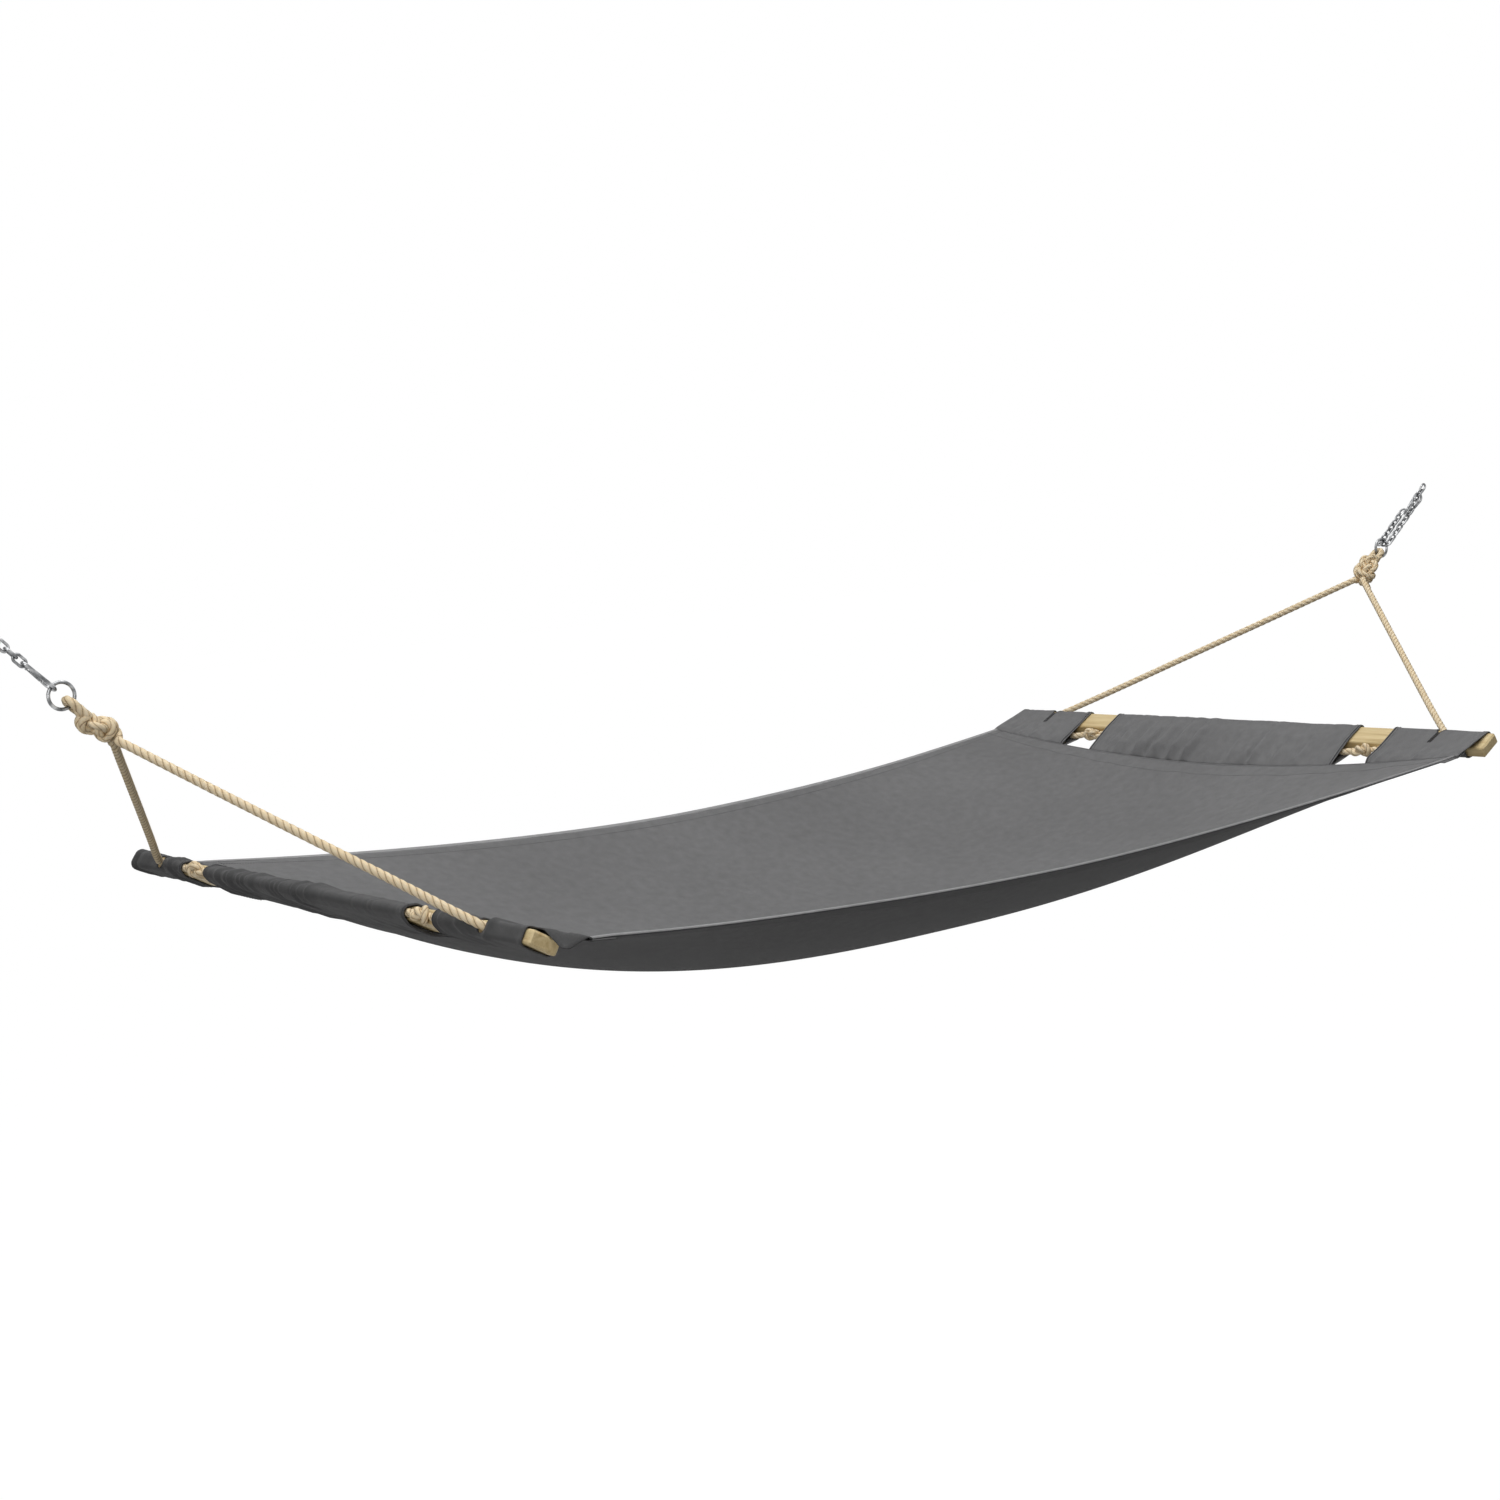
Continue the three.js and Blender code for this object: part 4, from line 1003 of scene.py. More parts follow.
def makeBed():
    x = np.linspace(-bed["endX"], bed["endX"], bed["lengthSteps"] + 1)[:, None]
    y = np.linspace(-1, 1, bed["widthSteps"] + 1)[None, :] * bedHalfWidth(x)
    x = np.broadcast_to(x, y.shape)
    middle = np.stack([x, y, bedHeight(x, y) + bedFolds(x, y)], axis=-1)[::-1]
    normal = unit(np.cross(np.gradient(middle, axis=1), np.gradient(middle, axis=0)))
    half = normal * np.sign(normal[..., 2:]) * bed["thickness"] / 2
    obj = sheetObject("bed_sheet", middle + half, middle - half, canvas[""], middle[..., :2])
    # faces that look down get a darker copy of the canvas: painted shade on the underside
    secondMaterial(obj, canvas["UnderPaintedShade"], lambda rise: rise < 0)
    return settle(obj, "hammock", "canvas", "bed_cloth")


hem = {
    "width": 0.022,
    "drop": 0.0004,             # between the bed's underside and the hem
    "thickness": 0.0015,
    "wall": 0.0012,
    "rise": 0.0006,             # how far the fold stands past the bed's edge
    "lip": 0.0016,
    "lipWidth": 0.0050,
    "lipSteps": 4,
    "arcSteps": 8,
    "flatSteps": 10,
    "wave": 0.0004,
    "waveLength": 0.05,
    "paintedHighlightSlope": 0.05,           # faces that look up more than this are the rim, which gets a painted highlight
}


def makeHem(name, sideY, node):
    # a strip folded round the bed's long edge and laid under it
    x = np.linspace(-bed["endX"], bed["endX"], bed["lengthSteps"] + 1)[:, None]
    half = bedHalfWidth(x)
    radius = (bed["thickness"] + hem["drop"] + hem["thickness"] + hem["lip"]) / 2
    middle = bed["thickness"] / 2 + hem["lip"] - radius
    lip = 1 - np.arange(hem["lipSteps"]) / hem["lipSteps"]
    angles = math.pi / 2 - math.pi * np.arange(hem["arcSteps"] + 1) / hem["arcSteps"]
    flat = np.arange(1, hem["flatSteps"] + 1) / hem["flatSteps"]
    profile = np.column_stack([
        hem["rise"] + np.concatenate([-hem["lipWidth"] * lip, radius * np.cos(angles), -hem["width"] * flat]),
        middle + np.concatenate([radius - hem["lip"] * lip ** 2, radius * np.sin(angles), 0 * flat - radius]),
    ])
    step = unit(np.gradient(profile, axis=0))
    inward = np.column_stack([step[:, 1], -step[:, 0]]) * hem["wall"]
    wave = smoothNoise(x, hem["waveLength"], 31) * hem["wave"]

    def laid(shape):
        y = half + shape[None, :, 0] - hem["rise"]
        base = bedHeight(x, np.minimum(y, half)) + bedFolds(x, sideY * y)
        z = base + shape[None, :, 1] + wave * (shape[None, :, 0] < 0)
        return np.stack([np.broadcast_to(x, y.shape), sideY * y, z], axis=-1)[::-sideY]

    uv = np.stack(np.broadcast_arrays(x, runningLengths(profile)[None, :]), axis=-1)[::-sideY]
    # the hem gets a darker copy of the canvas: painted shade
    obj = sheetObject(name, laid(profile), laid(profile + inward), canvas["HemPaintedShade"], uv)
    # faces that look up get a much lighter copy of the canvas: a painted highlight along the rim
    secondMaterial(obj, canvas["RimPaintedHighlight"], lambda rise: rise > hem["paintedHighlightSlope"])
    return settle(obj, "hammock", "canvas", node)


bedSheet = makeBed()
nearHem = makeHem("near_hem", -1, "near_side_hem")
farHem = makeHem("far_hem", 1, "far_side_hem")
print("bed and hems made")


# Sleeves round the bars: cloth pulled tight over the bar, the rope beside it and the seam

sleeve = {
    "thickness": 0.0016,
    "clearance": 0.0006,
    "halfLength": 0.550,
    "flatLength": {"near": 0.280, "middle": 0.305, "far": 0.280},      # from the seam round the bar
    "loopPoints": 96,
    "hullStart": math.radians(120),
    "hullSpan": math.radians(300),
    "hullSteps": 720,
    "stationStep": 0.0030,
    "flap": 0.036,              # turned under the bed, inward of the seam
    "flapSteps": 10,
    "flapGap": 0.0002,
    "flapInset": 0.001,
    "ropePress": 0.0004,        # how far the cloth gives where the rope lies under it
    "bulgeStart": 0.4495,
    "bulgeEnd": 0.4205,
    "hem": 0.012,
    "hemLift": 0.0008,
    "hemStep": 0.0015,
    "hemStart": 30,             # one over the share of the loop where the hem gets its full height
    "pastHole": 0.014,
    "sunk": 0.006,              # how far in the rope lies where the sleeve's loop leaves it
    "leastRope": 0.4,
    "pinchLength": 0.075,       # how far in from its ends the sleeve is drawn together behind the bar
    "pinchGap": 0.0001,
    "pinchFade": 0.05,
}

slit = {
    "end": -0.0220,             # on the bar's upper face
    "endLength": 0.006,
    "under": -0.0085,
    "underLength": 0.004,
    "half": 0.0012,
    "ropeHalf": 0.0071,
    "ropeStart": 0.012,         # where the slit begins to widen for the rope
    "ropeLength": 0.010,
    "closedHalf": 0.0002,
    "clear": 0.6,               # of a station's step, kept free beside the slit
    "spread": 0.012,
}

mouth = {
    "length": 0.050,
    "curve": 1.5,
    "overhang": {("left", "near"): 0.026},      # how far the cloth hangs past the end behind the bar
    "overhangEnd": 0.3,         # of the bar's width
    "underCut": {"left": 0.004, "right": 0.024},
    "underCutEnd": 0.45,
    "underCutStart": 0.6,
    "droop": 0.019,             # how far the overhanging cloth drops past the bar's end
    "droopLength": 0.016,
    "droopGap": 0.001,
    "droopWidth": 0.012,
}

fold = {
    "gather": {"near": 0.0050, "middle": 0.0150, "far": 0.0050},
    "wave": {"near": 0.016, "middle": 0.0175, "far": 0.016},
    "reach": {"near": 0.13, "middle": 0.27, "far": 0.13},
    "rise": (0.40, 0.8),        # share of the reach and curve of the gathers' start at the seam's top
    "underShare": 0.4,
    "underRise": 0.35,
    "slant": 0.02,
    "amount": (0.55, 0.15, 1.2),        # middle, least and most
    "amountWave": 0.15,
    "slack": 0.0006,
    "slackWave": 0.043,
    "slackSlant": 0.11,
    "patchShare": {"left": 0.75, "right": 0.35},
    "patchWave": 0.09,
    "patchSlant": 0.2,
    "wrinkle": {"left": 0.0062, "right": 0.0012},
    "wrinkleWave": 0.013,
    "wrinkleSway": 0.012,
    "wrinkleTurns": 9,
    "wrinkleFlat": 0.15,
    "sunk": -0.0003,
}


def sleeveDiscs(side, y):
    # round shapes, in bar coordinates, that the sleeve is drawn tight over: the bar's corners, the
    # seam and the rope
    edge, face = barCorner()
    cover = sleeve["clearance"] + sleeve["thickness"]
    corner = bar["edgeRadius"] + cover
    discs = [(a, b, corner) for a in (-edge, edge) for b in (-face, face)]
    seamZ = bedHeight(bed["seamX"], np.minimum(abs(y), bedHalfWidth(bed["seamX"])))
    discs.append((*barPlace(bed["seamX"], seamZ - bed["thickness"] / 2), sleeve["thickness"]))
    ropeReach = ropeLook["radius"] + cover - sleeve["ropePress"]
    last = bar["holeY"] + sleeve["pastHole"]
    if abs(y) < last and (side > 0 or abs(y) > bar["innerHoleY"]):
        shrink = np.clip((last - abs(y)) / sleeve["pastHole"], 0, 1) ** 0.5
        behind = ropeRun["behind"] - (ropeDroop(y) if side > 0 else 0)
        share = sleeve["leastRope"] + (1 - sleeve["leastRope"]) * shrink
        discs.append((behind + sleeve["sunk"] * (1 - shrink), 0, ropeReach * share))
    if side < 0:
        bulge = eased((sleeve["bulgeStart"] - abs(y)) / (sleeve["bulgeStart"] - sleeve["bulgeEnd"]))
        loose, tight = np.array([edge, face, corner]), np.array([*leftRunPlace(y), ropeReach])
        discs.append(loose + (tight - loose) * bulge)
    return np.array(discs, float)


def sleeveLoop(side, y):
    # the hull of the discs from the top of the seam, the fifth disc, round the bar to its underside
    discs = sleeveDiscs(side, y)
    start = sleeve["hullStart"]
    angles = np.linspace(start, start - sleeve["hullSpan"], sleeve["hullSteps"] + 1)
    normals = np.column_stack([np.cos(angles), np.sin(angles)])
    reach = discs[:, 0][None] * normals[:, :1] + discs[:, 1][None] * normals[:, 1:] + discs[:, 2][None]
    best = reach.argmax(axis=1)
    points = discs[best, :2] + normals * discs[best, 2:3]
    onTip = best == 4
    leave = int(np.argmin(onTip)) - 1 if onTip[0] else 0
    back = len(onTip) - int(np.argmin(onTip[::-1])) if onTip[-1] else len(onTip) - 1
    points = points[max(leave, 0):back + 1]
    lengths = runningLengths(points)
    loop = rowsAt(np.linspace(0, lengths[-1], sleeve["loopPoints"]), lengths, points)
    return pinched(loop, discs[4, 0], y)


def pinched(loop, tip, y):
    # near the sleeve's ends the lower layer lies against the upper one, between the seam and the bar
    share = eased((abs(y) - sleeve["halfLength"] + sleeve["pinchLength"]) / sleeve["pinchLength"])
    top = int(loop[:, 0].argmax())
    bend = -bar["width"] / 2 - sleeve["clearance"] - sleeve["thickness"]
    under = loop[top:]
    fade = eased((1 - (under[:, 0] - tip) / (bend - tip)) / sleeve["pinchFade"])
    above = np.interp(under[:, 0], loop[:top, 0], loop[:top, 1]) - 2 * sleeve["thickness"]
    under[:, 1] += np.maximum(above - sleeve["pinchGap"] - under[:, 1], 0) * share * fade
    return loop


def flapPoints(y):
    # the cloth's turned-under end, from the seam inward along the bed's underside
    x = bed["seamX"] - np.linspace(0, sleeve["flap"], sleeve["flapSteps"] + 1)[1:]
    z = bedHeight(x, np.minimum(abs(y), bedHalfWidth(x) - sleeve["flapInset"]))
    return np.column_stack(barPlace(x, z - bed["thickness"] / 2 - sleeve["thickness"] - sleeve["flapGap"]))


def slitHalfWidth(a, b):
    # half the slit's opening: narrow on the upper face, wide where the rope comes out
    outer = eased((a - slit["ropeStart"]) / slit["ropeLength"])
    end = np.clip((a - slit["end"]) / slit["endLength"], 0, 1) ** 0.5
    under = np.clip((b - slit["under"]) / slit["underLength"], 0, 1) ** 0.5
    face = slit["half"] * end
    return (face + (slit["ropeHalf"] - face) * outer) * under


def sleeveStations(low, high, slitAt):
    stations = np.linspace(low, high, int(round((high - low) / sleeve["stationStep"])) + 1)
    if slitAt is None:
        return stations
    stations = stations[np.abs(stations - slitAt) > sleeve["stationStep"] * slit["clear"]]
    return np.sort([*stations, slitAt - slit["closedHalf"], slitAt + slit["closedHalf"]])


def sleeveLift(end, part, stations, share, fromEnd):
    # how far the cloth stands off its tight shape: gathers at the seam, creases and turned ends
    seed = 41 + (end == "right") * 10 + ("near", "middle", "far").index(part)
    reach = fold["reach"][part]
    rise, curve = fold["rise"]
    loose = np.minimum(share / (rise * reach), 1) ** curve * np.exp(-(share / reach) ** 2)
    under = np.minimum((1 - share) / (fold["underRise"] * reach), 1) * np.exp(-((1 - share) / reach) ** 2)
    loose = loose + fold["underShare"] * under
    folds = np.abs(smoothNoise(stations + fold["slant"] * share, fold["wave"][part], seed))
    usual, least, most = fold["amount"]
    amount = np.clip(usual + smoothNoise(stations, fold["amountWave"], seed + 3), least, most)
    gathers = folds * amount * fold["gather"][part] * loose
    slack = smoothNoise(stations + share * fold["slackSlant"], fold["slackWave"], seed + 5) * fold["slack"]
    patches = smoothNoise(stations - share * fold["patchSlant"], fold["patchWave"], seed + 7)
    patches = np.clip(patches + fold["patchShare"][end], 0, 1)
    sway = fold["wrinkleSway"] * np.sin(share * fold["wrinkleTurns"])
    crossing = np.abs(smoothNoise(stations + sway, fold["wrinkleWave"], seed + 9)) - fold["wrinkleFlat"]
    slack = slack + crossing * patches * fold["wrinkle"][end]
    hemmed = np.clip((sleeve["hem"] - fromEnd) / sleeve["hemStep"], 0, 1) * sleeve["hemLift"]
    lift = gathers + slack * np.sin(math.pi * share) + hemmed * np.minimum(share * sleeve["hemStart"], 1)
    return np.maximum(lift, fold["sunk"])


def mouthShift(end, part, stations, loops):
    # the sleeve's open end isn't cut square: it hangs over behind the bar and stops short below it
    near = np.clip(1 - (sleeve["halfLength"] - np.abs(stations)) / mouth["length"], 0, 1) ** mouth["curve"]
    a, width = loops[..., 0], bar["width"]
    above = np.arange(sleeve["loopPoints"])[None] < a.argmax(axis=1)[:, None]
    rising = np.clip((a - a[:, :1]) / (-width / 2 - a[:, :1]), 0, 1)
    falling = np.clip((mouth["overhangEnd"] * width - a) / (mouth["overhangEnd"] * width + width / 2), 0, 1)
    hang = rising * falling * mouth["overhang"].get((end, part), 0)
    start = mouth["underCutStart"]
    low = np.clip(rising * (1 + start) - start, 0, 1)
    low = low * np.clip((mouth["underCutEnd"] * width - a) / width, 0, 1)
    return np.where(above, hang, -low * mouth["underCut"][end]) * near[:, None] * np.sign(stations)[:, None]


def makeSleeve(side, end, part, low, high, slitAt):
    stations = sleeveStations(low, high, slitAt)
    loops = np.array([sleeveLoop(side, y) for y in stations])
    flaps = np.array([flapPoints(y) for y in stations])
    ys = np.broadcast_to(stations[:, None], loops.shape[:2]).copy()
    step = np.gradient(loops, axis=1)
    outward = unit(np.stack([-step[..., 1], step[..., 0]], axis=-1))
    share = np.linspace(0, 1, sleeve["loopPoints"])[None, :]
    fromEnd = np.minimum(stations - low, high - stations)[:, None]
    outerAB = loops + outward * sleeveLift(end, part, stations[:, None], share, fromEnd)[..., None]
    innerAB = outerAB - outward * sleeve["thickness"]
    keep = np.ones((len(stations) - 1, sleeve["loopPoints"] - 1 + sleeve["flapSteps"]), bool)
    if slitAt is not None:
        ys += mouthShift(end, part, stations, loops)
        past = np.clip((np.abs(ys) - bar["length"] / 2 - mouth["droopGap"]) / mouth["droopLength"], 0, 1)
        past = past * (loops[..., 0] < mouth["droopWidth"]) * mouth["droop"]
        outerAB[..., 1] -= past
        innerAB[..., 1] -= past
        before = nearest(stations, slitAt - slit["closedHalf"])
        half = slitHalfWidth(loops[before, :, 0], loops[before, :, 1])
        away = (stations - slitAt)[:, None]
        near = np.exp(-(np.maximum(np.abs(away) - slit["closedHalf"], 0) / slit["spread"]) ** 2)
        ys += np.sign(away) * half * near
        opened = half > 2 * slit["closedHalf"]
        keep[before, :sleeve["loopPoints"] - 1] = ~(opened[:-1] & opened[1:])
    flapY = np.broadcast_to(stations[:, None], flaps.shape[:2])
    lifted = flaps + np.array([math.sin(bar["tilt"]), math.cos(bar["tilt"])]) * sleeve["thickness"]

    def laid(loop, flap):
        stretches = ((ys, loop), (flapY, flap))
        return np.concatenate([onBar(side, y, ab[..., 0], ab[..., 1]) for y, ab in stretches], axis=1)

    outer, inner = laid(outerAB, flaps), laid(innerAB, lifted)
    lengths = runningLengths(outer[-1 if side < 0 else 0])
    uv = np.stack(np.broadcast_arrays(lengths[None, :], stations[:, None]), axis=-1)
    # the left sleeves get a darker copy of the canvas: painted shade
    shade = canvas["" if side > 0 else "Left"]
    ordered = (grid[::side] for grid in (uv, keep))
    obj = sheetObject(f"{end}_{part}_sleeve", outer[::side], inner[::side], shade, *ordered)
    settle(obj, "hammock", "canvas", f"{end}_sleeve_{part}")
    outer, inner = outer[:, :sleeve["loopPoints"]], inner[:, :sleeve["loopPoints"]]
    return obj, stations, ys, outer, unit(outer - inner)


sleeves = {}
for end, side in (("left", -1), ("right", 1)):
    low, high, reach = bar["windowNear"], sleeve["halfLength"], bar["windowFar"]
    sleeves[end, "near"] = makeSleeve(side, end, "near", -high, -low, -bar["holeY"])
    sleeves[end, "far"] = makeSleeve(side, end, "far", low, high, bar["holeY"])
    sleeves[end, "middle"] = makeSleeve(side, end, "middle", -reach, reach, None)
print("sleeves made")

for node in ("left_spreader_bar", "right_spreader_bar"):
    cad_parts[node].data.materials.clear()
    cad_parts[node].data.materials.append(wood)


# What repeats, stitches and links, is put on points by a node tree

def spreadTree(name, numbers, counts, makeShape):
    # one shape on every point, turned by the point's own angles
    tree = bpy.data.node_groups.new(name, "GeometryNodeTree")
    sockets = [("Geometry", "Geometry"), *((label, "Float") for label in numbers)]
    sockets += [*((label, "Int") for label in counts), ("Material", "Material")]
    for label, kind in sockets:
        tree.interface.new_socket(label, in_out="INPUT", socket_type=f"NodeSocket{kind}")
    tree.interface.new_socket("Geometry", in_out="OUTPUT", socket_type="NodeSocketGeometry")
    given = addNode(tree, "NodeGroupInput").outputs
    turn = addNode(tree, "GeometryNodeInputNamedAttribute", {"data_type": "FLOAT_VECTOR"}, {"Name": "turn"})
    spin = addNode(tree, "FunctionNodeEulerToRotation", None, {"Euler": turn.outputs["Attribute"]})
    spread = addNode(tree, "GeometryNodeInstanceOnPoints", None, {
        "Points": given["Geometry"], "Rotation": spin.outputs["Rotation"], **makeShape(tree, given),
    })
    real = addNode(tree, "GeometryNodeRealizeInstances", None, {"Geometry": spread.outputs["Instances"]})
    smooth = addNode(tree, "GeometryNodeSetShadeSmooth", None, {"Geometry": real.outputs["Geometry"]})
    paint = addNode(tree, "GeometryNodeSetMaterial", None, {
        "Geometry": smooth.outputs["Geometry"], "Material": given["Material"],
    })
    addNode(tree, "NodeGroupOutput", None, {"Geometry": paint.outputs["Geometry"]})
    return tree


def stitchShape(tree, given):
    # a long bead of thread
    sizes = {"Radius": 0.5, "Segments": given["Sides"], "Rings": given["Rings"]}
    bead = addNode(tree, "GeometryNodeMeshUVSphere", None, sizes)
    upright = addNode(tree, "GeometryNodeTransform", None, {
        "Geometry": bead.outputs["Mesh"], "Rotation": (0, math.pi / 2, 0),
    })
    sizes = {"X": given["Length"], "Y": given["Width"], "Z": given["Height"]}
    scale = addNode(tree, "ShaderNodeCombineXYZ", None, sizes)
    return {"Instance": upright.outputs["Geometry"], "Scale": scale.outputs["Vector"]}


def linkShape(tree, given):
    # a closed wire link: a circle whose two halves are moved apart
    sizes = {"Resolution": given["Turn Points"], "Radius": given["Bend Radius"]}
    loop = addNode(tree, "GeometryNodeCurvePrimitiveCircle", None, sizes)
    place = addNode(tree, "GeometryNodeInputPosition")
    split = addNode(tree, "ShaderNodeSeparateXYZ", None, {0: place.outputs["Position"]})
    half = mathNode(tree, "SIGN", split.outputs["X"], 0.0)
    shift = mathNode(tree, "MULTIPLY", half, given["Stretch"])
    offset = addNode(tree, "ShaderNodeCombineXYZ", None, {"X": shift})
    move = addNode(tree, "GeometryNodeSetPosition", None, {
        "Geometry": loop.outputs["Curve"], "Offset": offset.outputs["Vector"],
    })
    sizes = {"Resolution": given["Wire Sides"], "Radius": given["Wire Radius"]}
    section = addNode(tree, "GeometryNodeCurvePrimitiveCircle", None, sizes)
    wire = addNode(tree, "GeometryNodeCurveToMesh", None, {
        "Curve": move.outputs["Geometry"], "Profile Curve": section.outputs["Curve"],
    })
    return {"Instance": wire.outputs["Mesh"]}


stitchTree = spreadTree("threadStitches", ("Length", "Width", "Height"), ("Sides", "Rings"), stitchShape)
linkTree = spreadTree(
    "wireLinks", ("Wire Radius", "Bend Radius", "Stretch"), ("Turn Points", "Wire Sides"), linkShape,
)


# Stitches along the seams, the hems, the windows and the slits

stitch = {
    "length": 0.0034,
    "pitch": 0.0045,
    "barLength": 0.0030,        # stitches laid across an edge
    "barPitch": 0.0010,
    "barShift": 0.4,
    "sink": 0.25,
    "seamRows": (0.0035, 0.0320),
    "seamClear": 0.004,
    "hemRow": 0.0185,
    "hemClear": 0.002,
    "windowRows": (0.0022, 0.0095),
    "slopeStep": 0.002,
    "seamPoints": 400,
    "hemPoints": 700,
    "shape": {"Width": 0.0009, "Height": 0.0008, "Sides": 6, "Rings": 4},
}


def stitchRow(points, normals, pitch, across=False):
    # evenly spaced places along a line on the cloth, and how each stitch is turned there
    lengths = runningLengths(points)
    count = max(int(lengths[-1] / pitch), 1)
    at = (np.arange(count) + 0.5) * lengths[-1] / count
    ahead = unit(np.gradient(points, axis=0))
    place, up, ahead = (rowsAt(at, lengths, rows) for rows in (points, normals, ahead))
    up = unit(up)
    ahead = unit(ahead - up * (ahead * up).sum(axis=1, keepdims=True))
    side = np.cross(up, ahead)
    first, second = (side, -ahead) if across else (ahead, side)
    turns = [turnOf(*axes) for axes in zip(first, second, up)]
    return place + up * stitch["shape"]["Height"] * stitch["sink"], turns


def bedTop(x, y):
    # places on the bed's upper side, and the way it faces there
    x, y = np.broadcast_arrays(np.asarray(x, float), np.asarray(y, float))

    def height(x, y):
        return bedHeight(x, y) + bedFolds(x, y)

    step = stitch["slopeStep"]
    slopeX = (height(x + step, y) - height(x - step, y)) / (2 * step)
    slopeY = (height(x, y + step) - height(x, y - step)) / (2 * step)
    up = unit(np.stack([-slopeX, -slopeY, np.ones_like(x)], axis=-1))
    return np.stack([x, y, height(x, y)], axis=-1) + up * bed["thickness"] / 2, up


def seamRows():
    rows = []
    for side in (-1, 1):
        for inset in stitch["seamRows"]:
            x = bed["endX"] - inset
            reach = bedHalfWidth(x) - stitch["seamClear"]
            y = np.linspace(-reach, reach, stitch["seamPoints"])
            rows.append(stitchRow(*bedTop(side * x, y), stitch["pitch"]))
    for side in (-1, 1):
        reach = bed["endX"] - stitch["hemClear"]
        x = np.linspace(-reach, reach, stitch["hemPoints"])
        rows.append(stitchRow(*bedTop(x, side * (bedHalfWidth(x) - stitch["hemRow"])), stitch["pitch"]))
    return rows


def edgeRows():
    # each window edge gets thread laid across it and a row of stitches, each slit thread on both sides
    hemRows, barRows = [], []
    for (_, part), (_, stations, ys, points, facing) in sleeves.items():
        for way in {"near": [1], "far": [-1], "middle": [-1, 1]}[part]:
            edgeAt = stations.max() if way > 0 else stations.min()
            i, k = (nearest(stations, edgeAt - way * inset) for inset in stitch["windowRows"])
            barRows.append(stitchRow(points[i], facing[i], stitch["barPitch"], True))
            hemRows.append(stitchRow(points[k], facing[k], stitch["pitch"]))
        if part == "middle":
            continue
        slitAt = bar["holeY"] * (-1 if part == "near" else 1)
        for way in (-1, 1):
            i = nearest(stations, slitAt + way * slit["closedHalf"])
            opened = np.abs(ys[i] - stations[i]) > 1e-6
            places = points[i][opened] + np.array([0, way * stitch["barLength"] * stitch["barShift"], 0])
            barRows.append(stitchRow(places, facing[i][opened], stitch["barPitch"], True))
    return hemRows, barRows


def makeStitches(name, rows, length, material):
    places, turns = (np.concatenate([row[k] for row in rows]) for k in (0, 1))
    values = {**stitch["shape"], "Length": length, "Material": thread[material]}
    print(f"{name}: {len(places)} stitches")
    return settle(spreadObject(name, places, turns, stitchTree, values), "hammock", "canvas")


hemRows, barRows = edgeRows()
bedStitches = makeStitches("bed_stitches", seamRows(), stitch["length"], "seamThread")
sleeveStitches = makeStitches("sleeve_stitches", hemRows, stitch["length"], "seamThread")
edgeStitches = makeStitches("edge_stitches", barRows, stitch["barLength"], "edgeThread")

print("stitches made")


# Chains, rings and snap hooks

chainLink = {
    "Wire Radius": 0.0020, "Bend Radius": 0.0052, "Stretch": 0.0044, "Turn Points": 48, "Wire Sides": 14,
}
ring = {
    "Wire Radius": 0.0025, "Bend Radius": 0.0175, "Stretch": 0.0, "Turn Points": 72, "Wire Sides": 16,
}


def makeLinks(name, nodes, size, body):
    frames = [nodeFrame(node) for node in nodes]
    places, turns = [place for place, *_ in frames], [turnOf(*axes) for _, *axes in frames]
    obj = spreadObject(name, places, turns, linkTree, {**size, "Material": steel})
    return settle(obj, body, "steel", *nodes)


def numbered(name, count):
    return [f"{name}_{i}" for i in range(1, count + 1)]


rightLinks = ["right_turn_link", *numbered("right_chain_link", 10), *numbered("right_return_link", 7)]
makeLinks("left_chain", numbered("left_chain_link", 5), chainLink, "hammock")
makeLinks("right_chain", [*rightLinks, "right_clip_link"], chainLink, "hammock")
for end in ("left", "right"):
    makeLinks(f"{end}_top_link", [f"{end}_end_link"], chainLink, "end_links")
for end in ("left", "right"):
    makeLinks(f"{end}_steel_ring", [f"{end}_ring"], ring, "hammock")


snapHook = {
    "length": 0.059,
    "wire": 0.0025,
    "wideWidth": 0.024,
    "narrowWidth": 0.015,
    "nose": 0.007,
    "heel": 0.006,
    "gateGap": 0.0005,
    "pinHead": 0.0013,
    "pinLength": 0.0054,
    "pinSides": 16,
    "pinHeadShape": ((-0.0003, 0.2), (-0.0003, 1), (0.0002, 1), (0.0003, 0.6)),     # place, share
    "tongue": 0.0016,
    "tongueLength": 0.0045,
    "tongueStep": 0.0008,
    "slot": 0.0024,
    "slotLength": 0.0055,
    "arcSteps": 26,
    "sides": 18,
    "lineStep": 0.0006,
    "dome": 0.5,                # length of the domed ends, in wire radii
    "domeLeast": 0.04,
    "search": 0.12,             # radians, each way from the long axis of the CAD's hook
    "searchSteps": 480,
}


def hookOutline():
    wide = snapHook["wideWidth"] / 2 - snapHook["wire"]
    narrow = snapHook["narrowWidth"] / 2 - snapHook["wire"]
    span = snapHook["length"] - 2 * snapHook["wire"] - wide - narrow
    taper = math.asin((wide - narrow) / span)
    side = np.array([math.cos(taper), -math.sin(taper), 0])

    def arc(centreX, radius, low, high):
        angles = np.linspace(low, high, snapHook["arcSteps"] + 1)
        return np.column_stack([centreX + radius * np.cos(angles), radius * np.sin(angles), 0 * angles])

    quarter = math.pi / 2
    wideArc = arc(wide, wide, quarter - taper, math.pi + quarter + taper)
    narrowArc = arc(wide + span, narrow, -quarter - taper, quarter - taper)
    pivot = narrowArc[-1] - side * snapHook["heel"]
    nose = wideArc[0] + side * snapHook["nose"]
    half = side * snapHook["tongueLength"] / 2
    body = np.concatenate([[nose], wideArc, narrowArc, [pivot - half]])
    return body, np.array([pivot + half, nose + side * snapHook["gateGap"]]), pivot, side


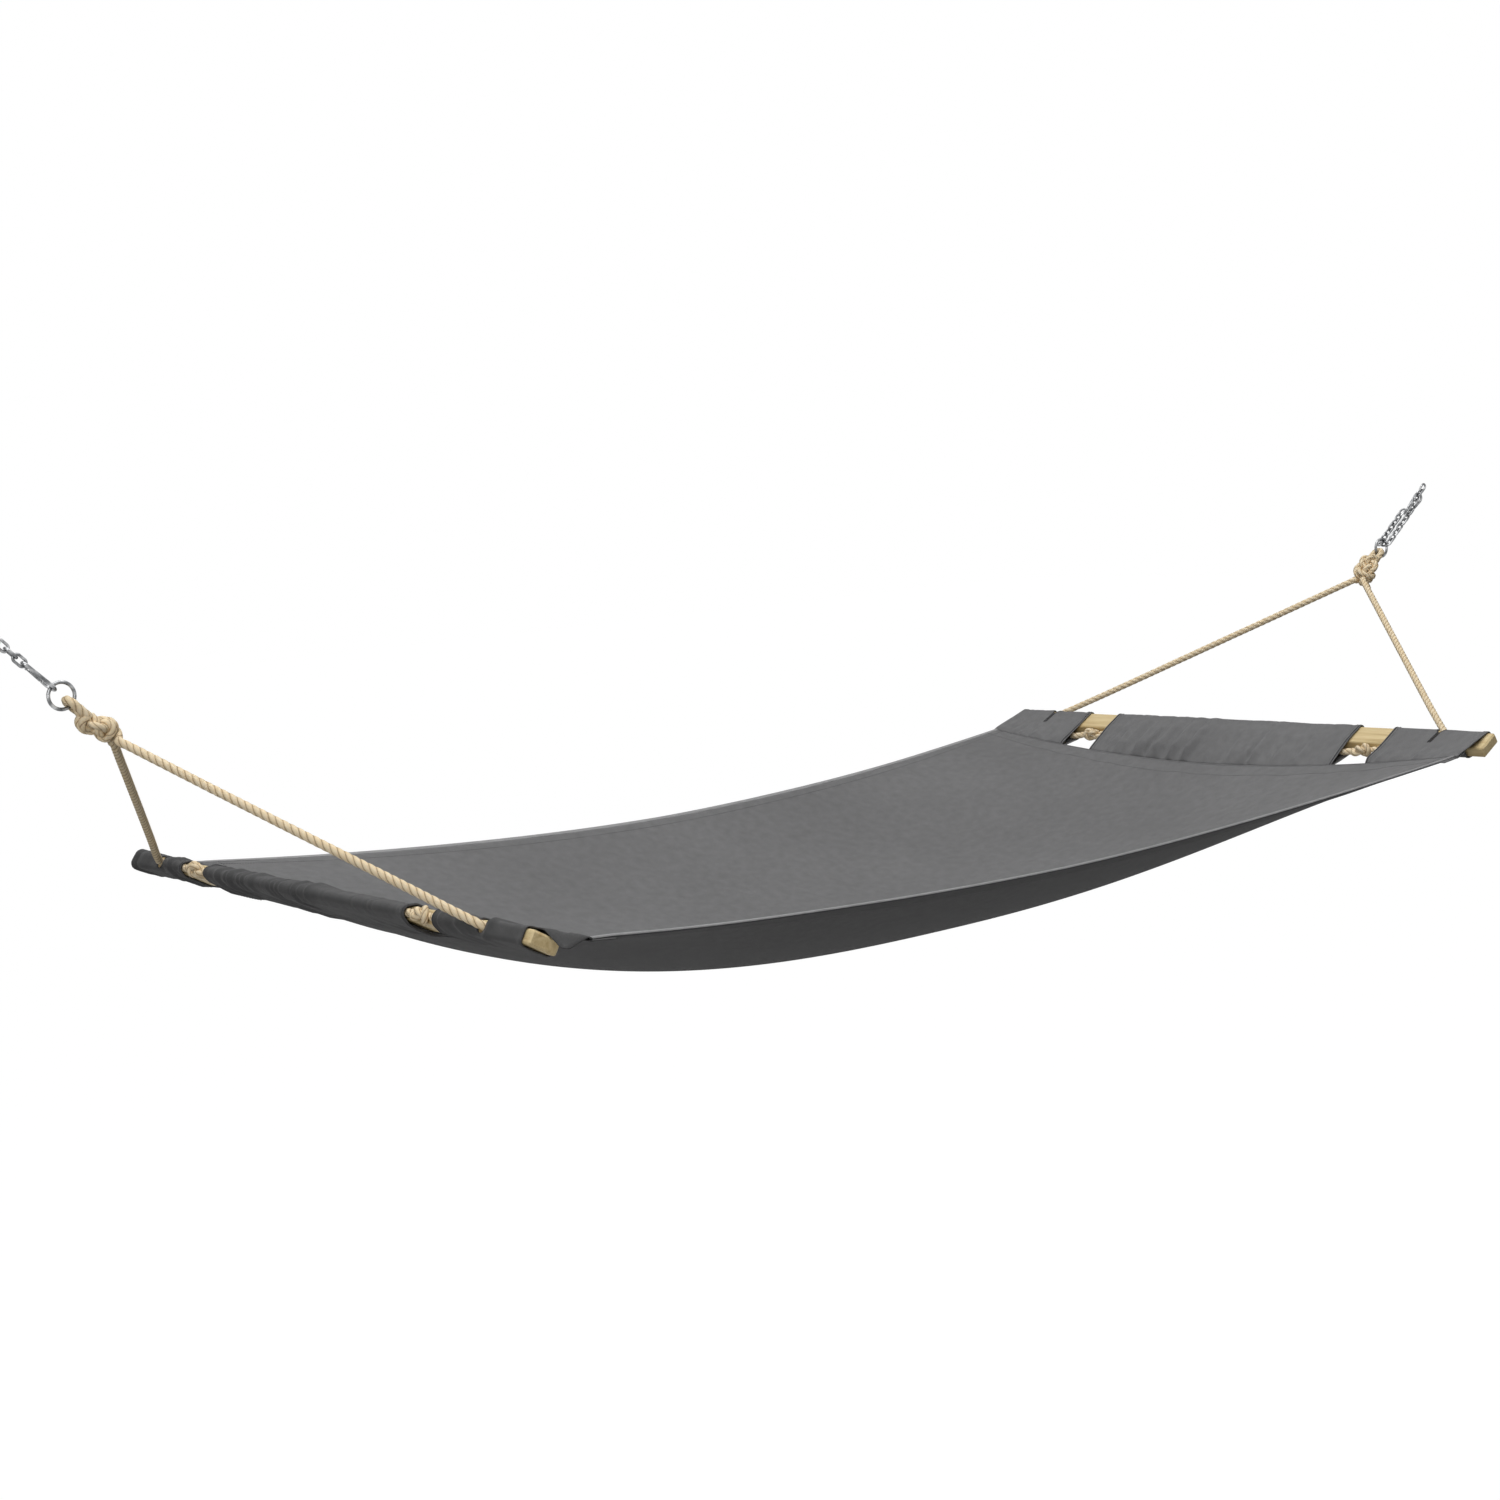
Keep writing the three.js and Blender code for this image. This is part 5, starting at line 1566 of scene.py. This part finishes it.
def wireTube(points, endShare):
    # a round wire with domed ends, in the hook's own plane, its last stretch flattened to a share
    line = evenSteps(points, snapHook["lineStep"])
    across = np.cross((0, 0, 1), unit(np.gradient(line, axis=0)))
    lengths = runningLengths(line)
    fromEnd = np.minimum(lengths, lengths[-1] - lengths)
    inward = np.minimum(fromEnd / (snapHook["dome"] * snapHook["wire"]), 1)
    radius = snapHook["wire"] * np.sqrt(np.clip(1 - (1 - inward) ** 2, snapHook["domeLeast"], 1))
    near = np.clip((lengths - (lengths[-1] - snapHook["tongueLength"])) / snapHook["tongueStep"], 0, 1)
    flat = 1 - near * (1 - endShare)
    angles = np.linspace(0, math.tau, snapHook["sides"], endpoint=False)
    ringX = np.cos(angles)[None, :, None] * across[:, None] * radius[:, None, None]
    ringZ = np.sin(angles)[None, :, None] * np.array([0, 0, 1.0]) * (radius * flat)[:, None, None]
    return cappedTube(line[:, None] + ringX + ringZ)


def cutBox(obj, centre, size, matrix):
    corners = np.array([(x, y, z) for x in (-1, 1) for y in (-1, 1) for z in (-1, 1)]) / 2 * size
    faces = [(0, 1, 3, 2), (4, 6, 7, 5), (0, 4, 5, 1), (2, 3, 7, 6), (0, 2, 6, 4), (1, 5, 7, 3)]
    box = meshObject("cutter", (matrix @ corners.T).T + centre, faces, steel)
    cut = obj.modifiers.new("cut", "BOOLEAN")
    cut.operation, cut.solver, cut.object = "DIFFERENCE", "EXACT", box
    applied(obj, cut)
    bpy.data.objects.remove(box)


def hookPlace(end, pivot):
    # the hook's turn and origin: its long axis runs from its wide end to its narrow end
    _, (along, across, over) = hangingLine(end)
    pinPlace, flat = nodeFrame(f"{end}_hook_gate_pin")[:2]
    facing, guess = (over, along) if end == "left" else (across, -along)
    flat = flat if flat @ facing > 0 else -flat
    corners = np.array([v.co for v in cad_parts[f"{end}_hook_body"].data.vertices])
    axis = np.linalg.eigh(np.cov((corners - corners.mean(axis=0)).T))[1][:, 2]
    rough = axis * np.sign(axis @ guess)
    least = math.inf
    for angle in np.linspace(-snapHook["search"], snapHook["search"], snapHook["searchSteps"] + 1):
        x = math.cos(angle) * rough + math.sin(angle) * np.cross(flat, rough)
        x = unit(x - flat * (x @ flat))
        y = np.cross(flat, x)
        origin = pinPlace - x * pivot[0] - y * pivot[1]
        local = (corners - origin) @ np.column_stack([x, y])
        miss = abs(local[:, 0].min() + snapHook["wire"]) + abs(local[:, 1].min() + snapHook["wideWidth"] / 2)
        miss += abs(local[:, 0].max() - snapHook["length"] + snapHook["wire"])
        if miss < least:
            least, best = miss, (np.column_stack([x, y, flat]), origin)
    return best


def makeHook(end):
    body, gate, pivot, side = hookOutline()
    turn, origin = hookPlace(end, pivot)

    def hookPiece(name, shape, bodyName, node):
        vertices, faces = shape
        obj = meshObject(f"{end}_{name}", (turn @ vertices.T).T + origin, faces, steel)
        return settle(obj, bodyName, "steel", f"{end}_{node}")

    hookPiece("snap_hook", wireTube(body, snapHook["tongue"] / 2 / snapHook["wire"]), "hammock", "hook_body")
    swung = hookPiece("snap_gate", wireTube(gate, 1), f"{end}_gate", "hook_gate")
    sideways = np.column_stack([side, np.cross((0, 0, 1), side), (0, 0, 1)])
    size = (2 * snapHook["slotLength"], 4 * snapHook["wire"], snapHook["slot"])
    cutBox(swung, turn @ pivot + origin, size, turn @ sideways)
    head = [(place - snapHook["pinLength"] / 2, share) for place, share in snapHook["pinHeadShape"]]
    angles = np.linspace(0, math.tau, snapHook["pinSides"], endpoint=False)
    rings = [np.column_stack([
        pivot[0] + share * snapHook["pinHead"] * np.cos(angles),
        pivot[1] + share * snapHook["pinHead"] * np.sin(angles),
        0 * angles + z,
    ]) for z, share in head + [(-place, share) for place, share in reversed(head)]]
    hookPiece("snap_pin", cappedTube(np.array(rings)), "hammock", "hook_gate_pin")


for end in ("left", "right"):
    makeHook(end)
print("chains, rings and hooks made")


bpy.context.view_layer.update()
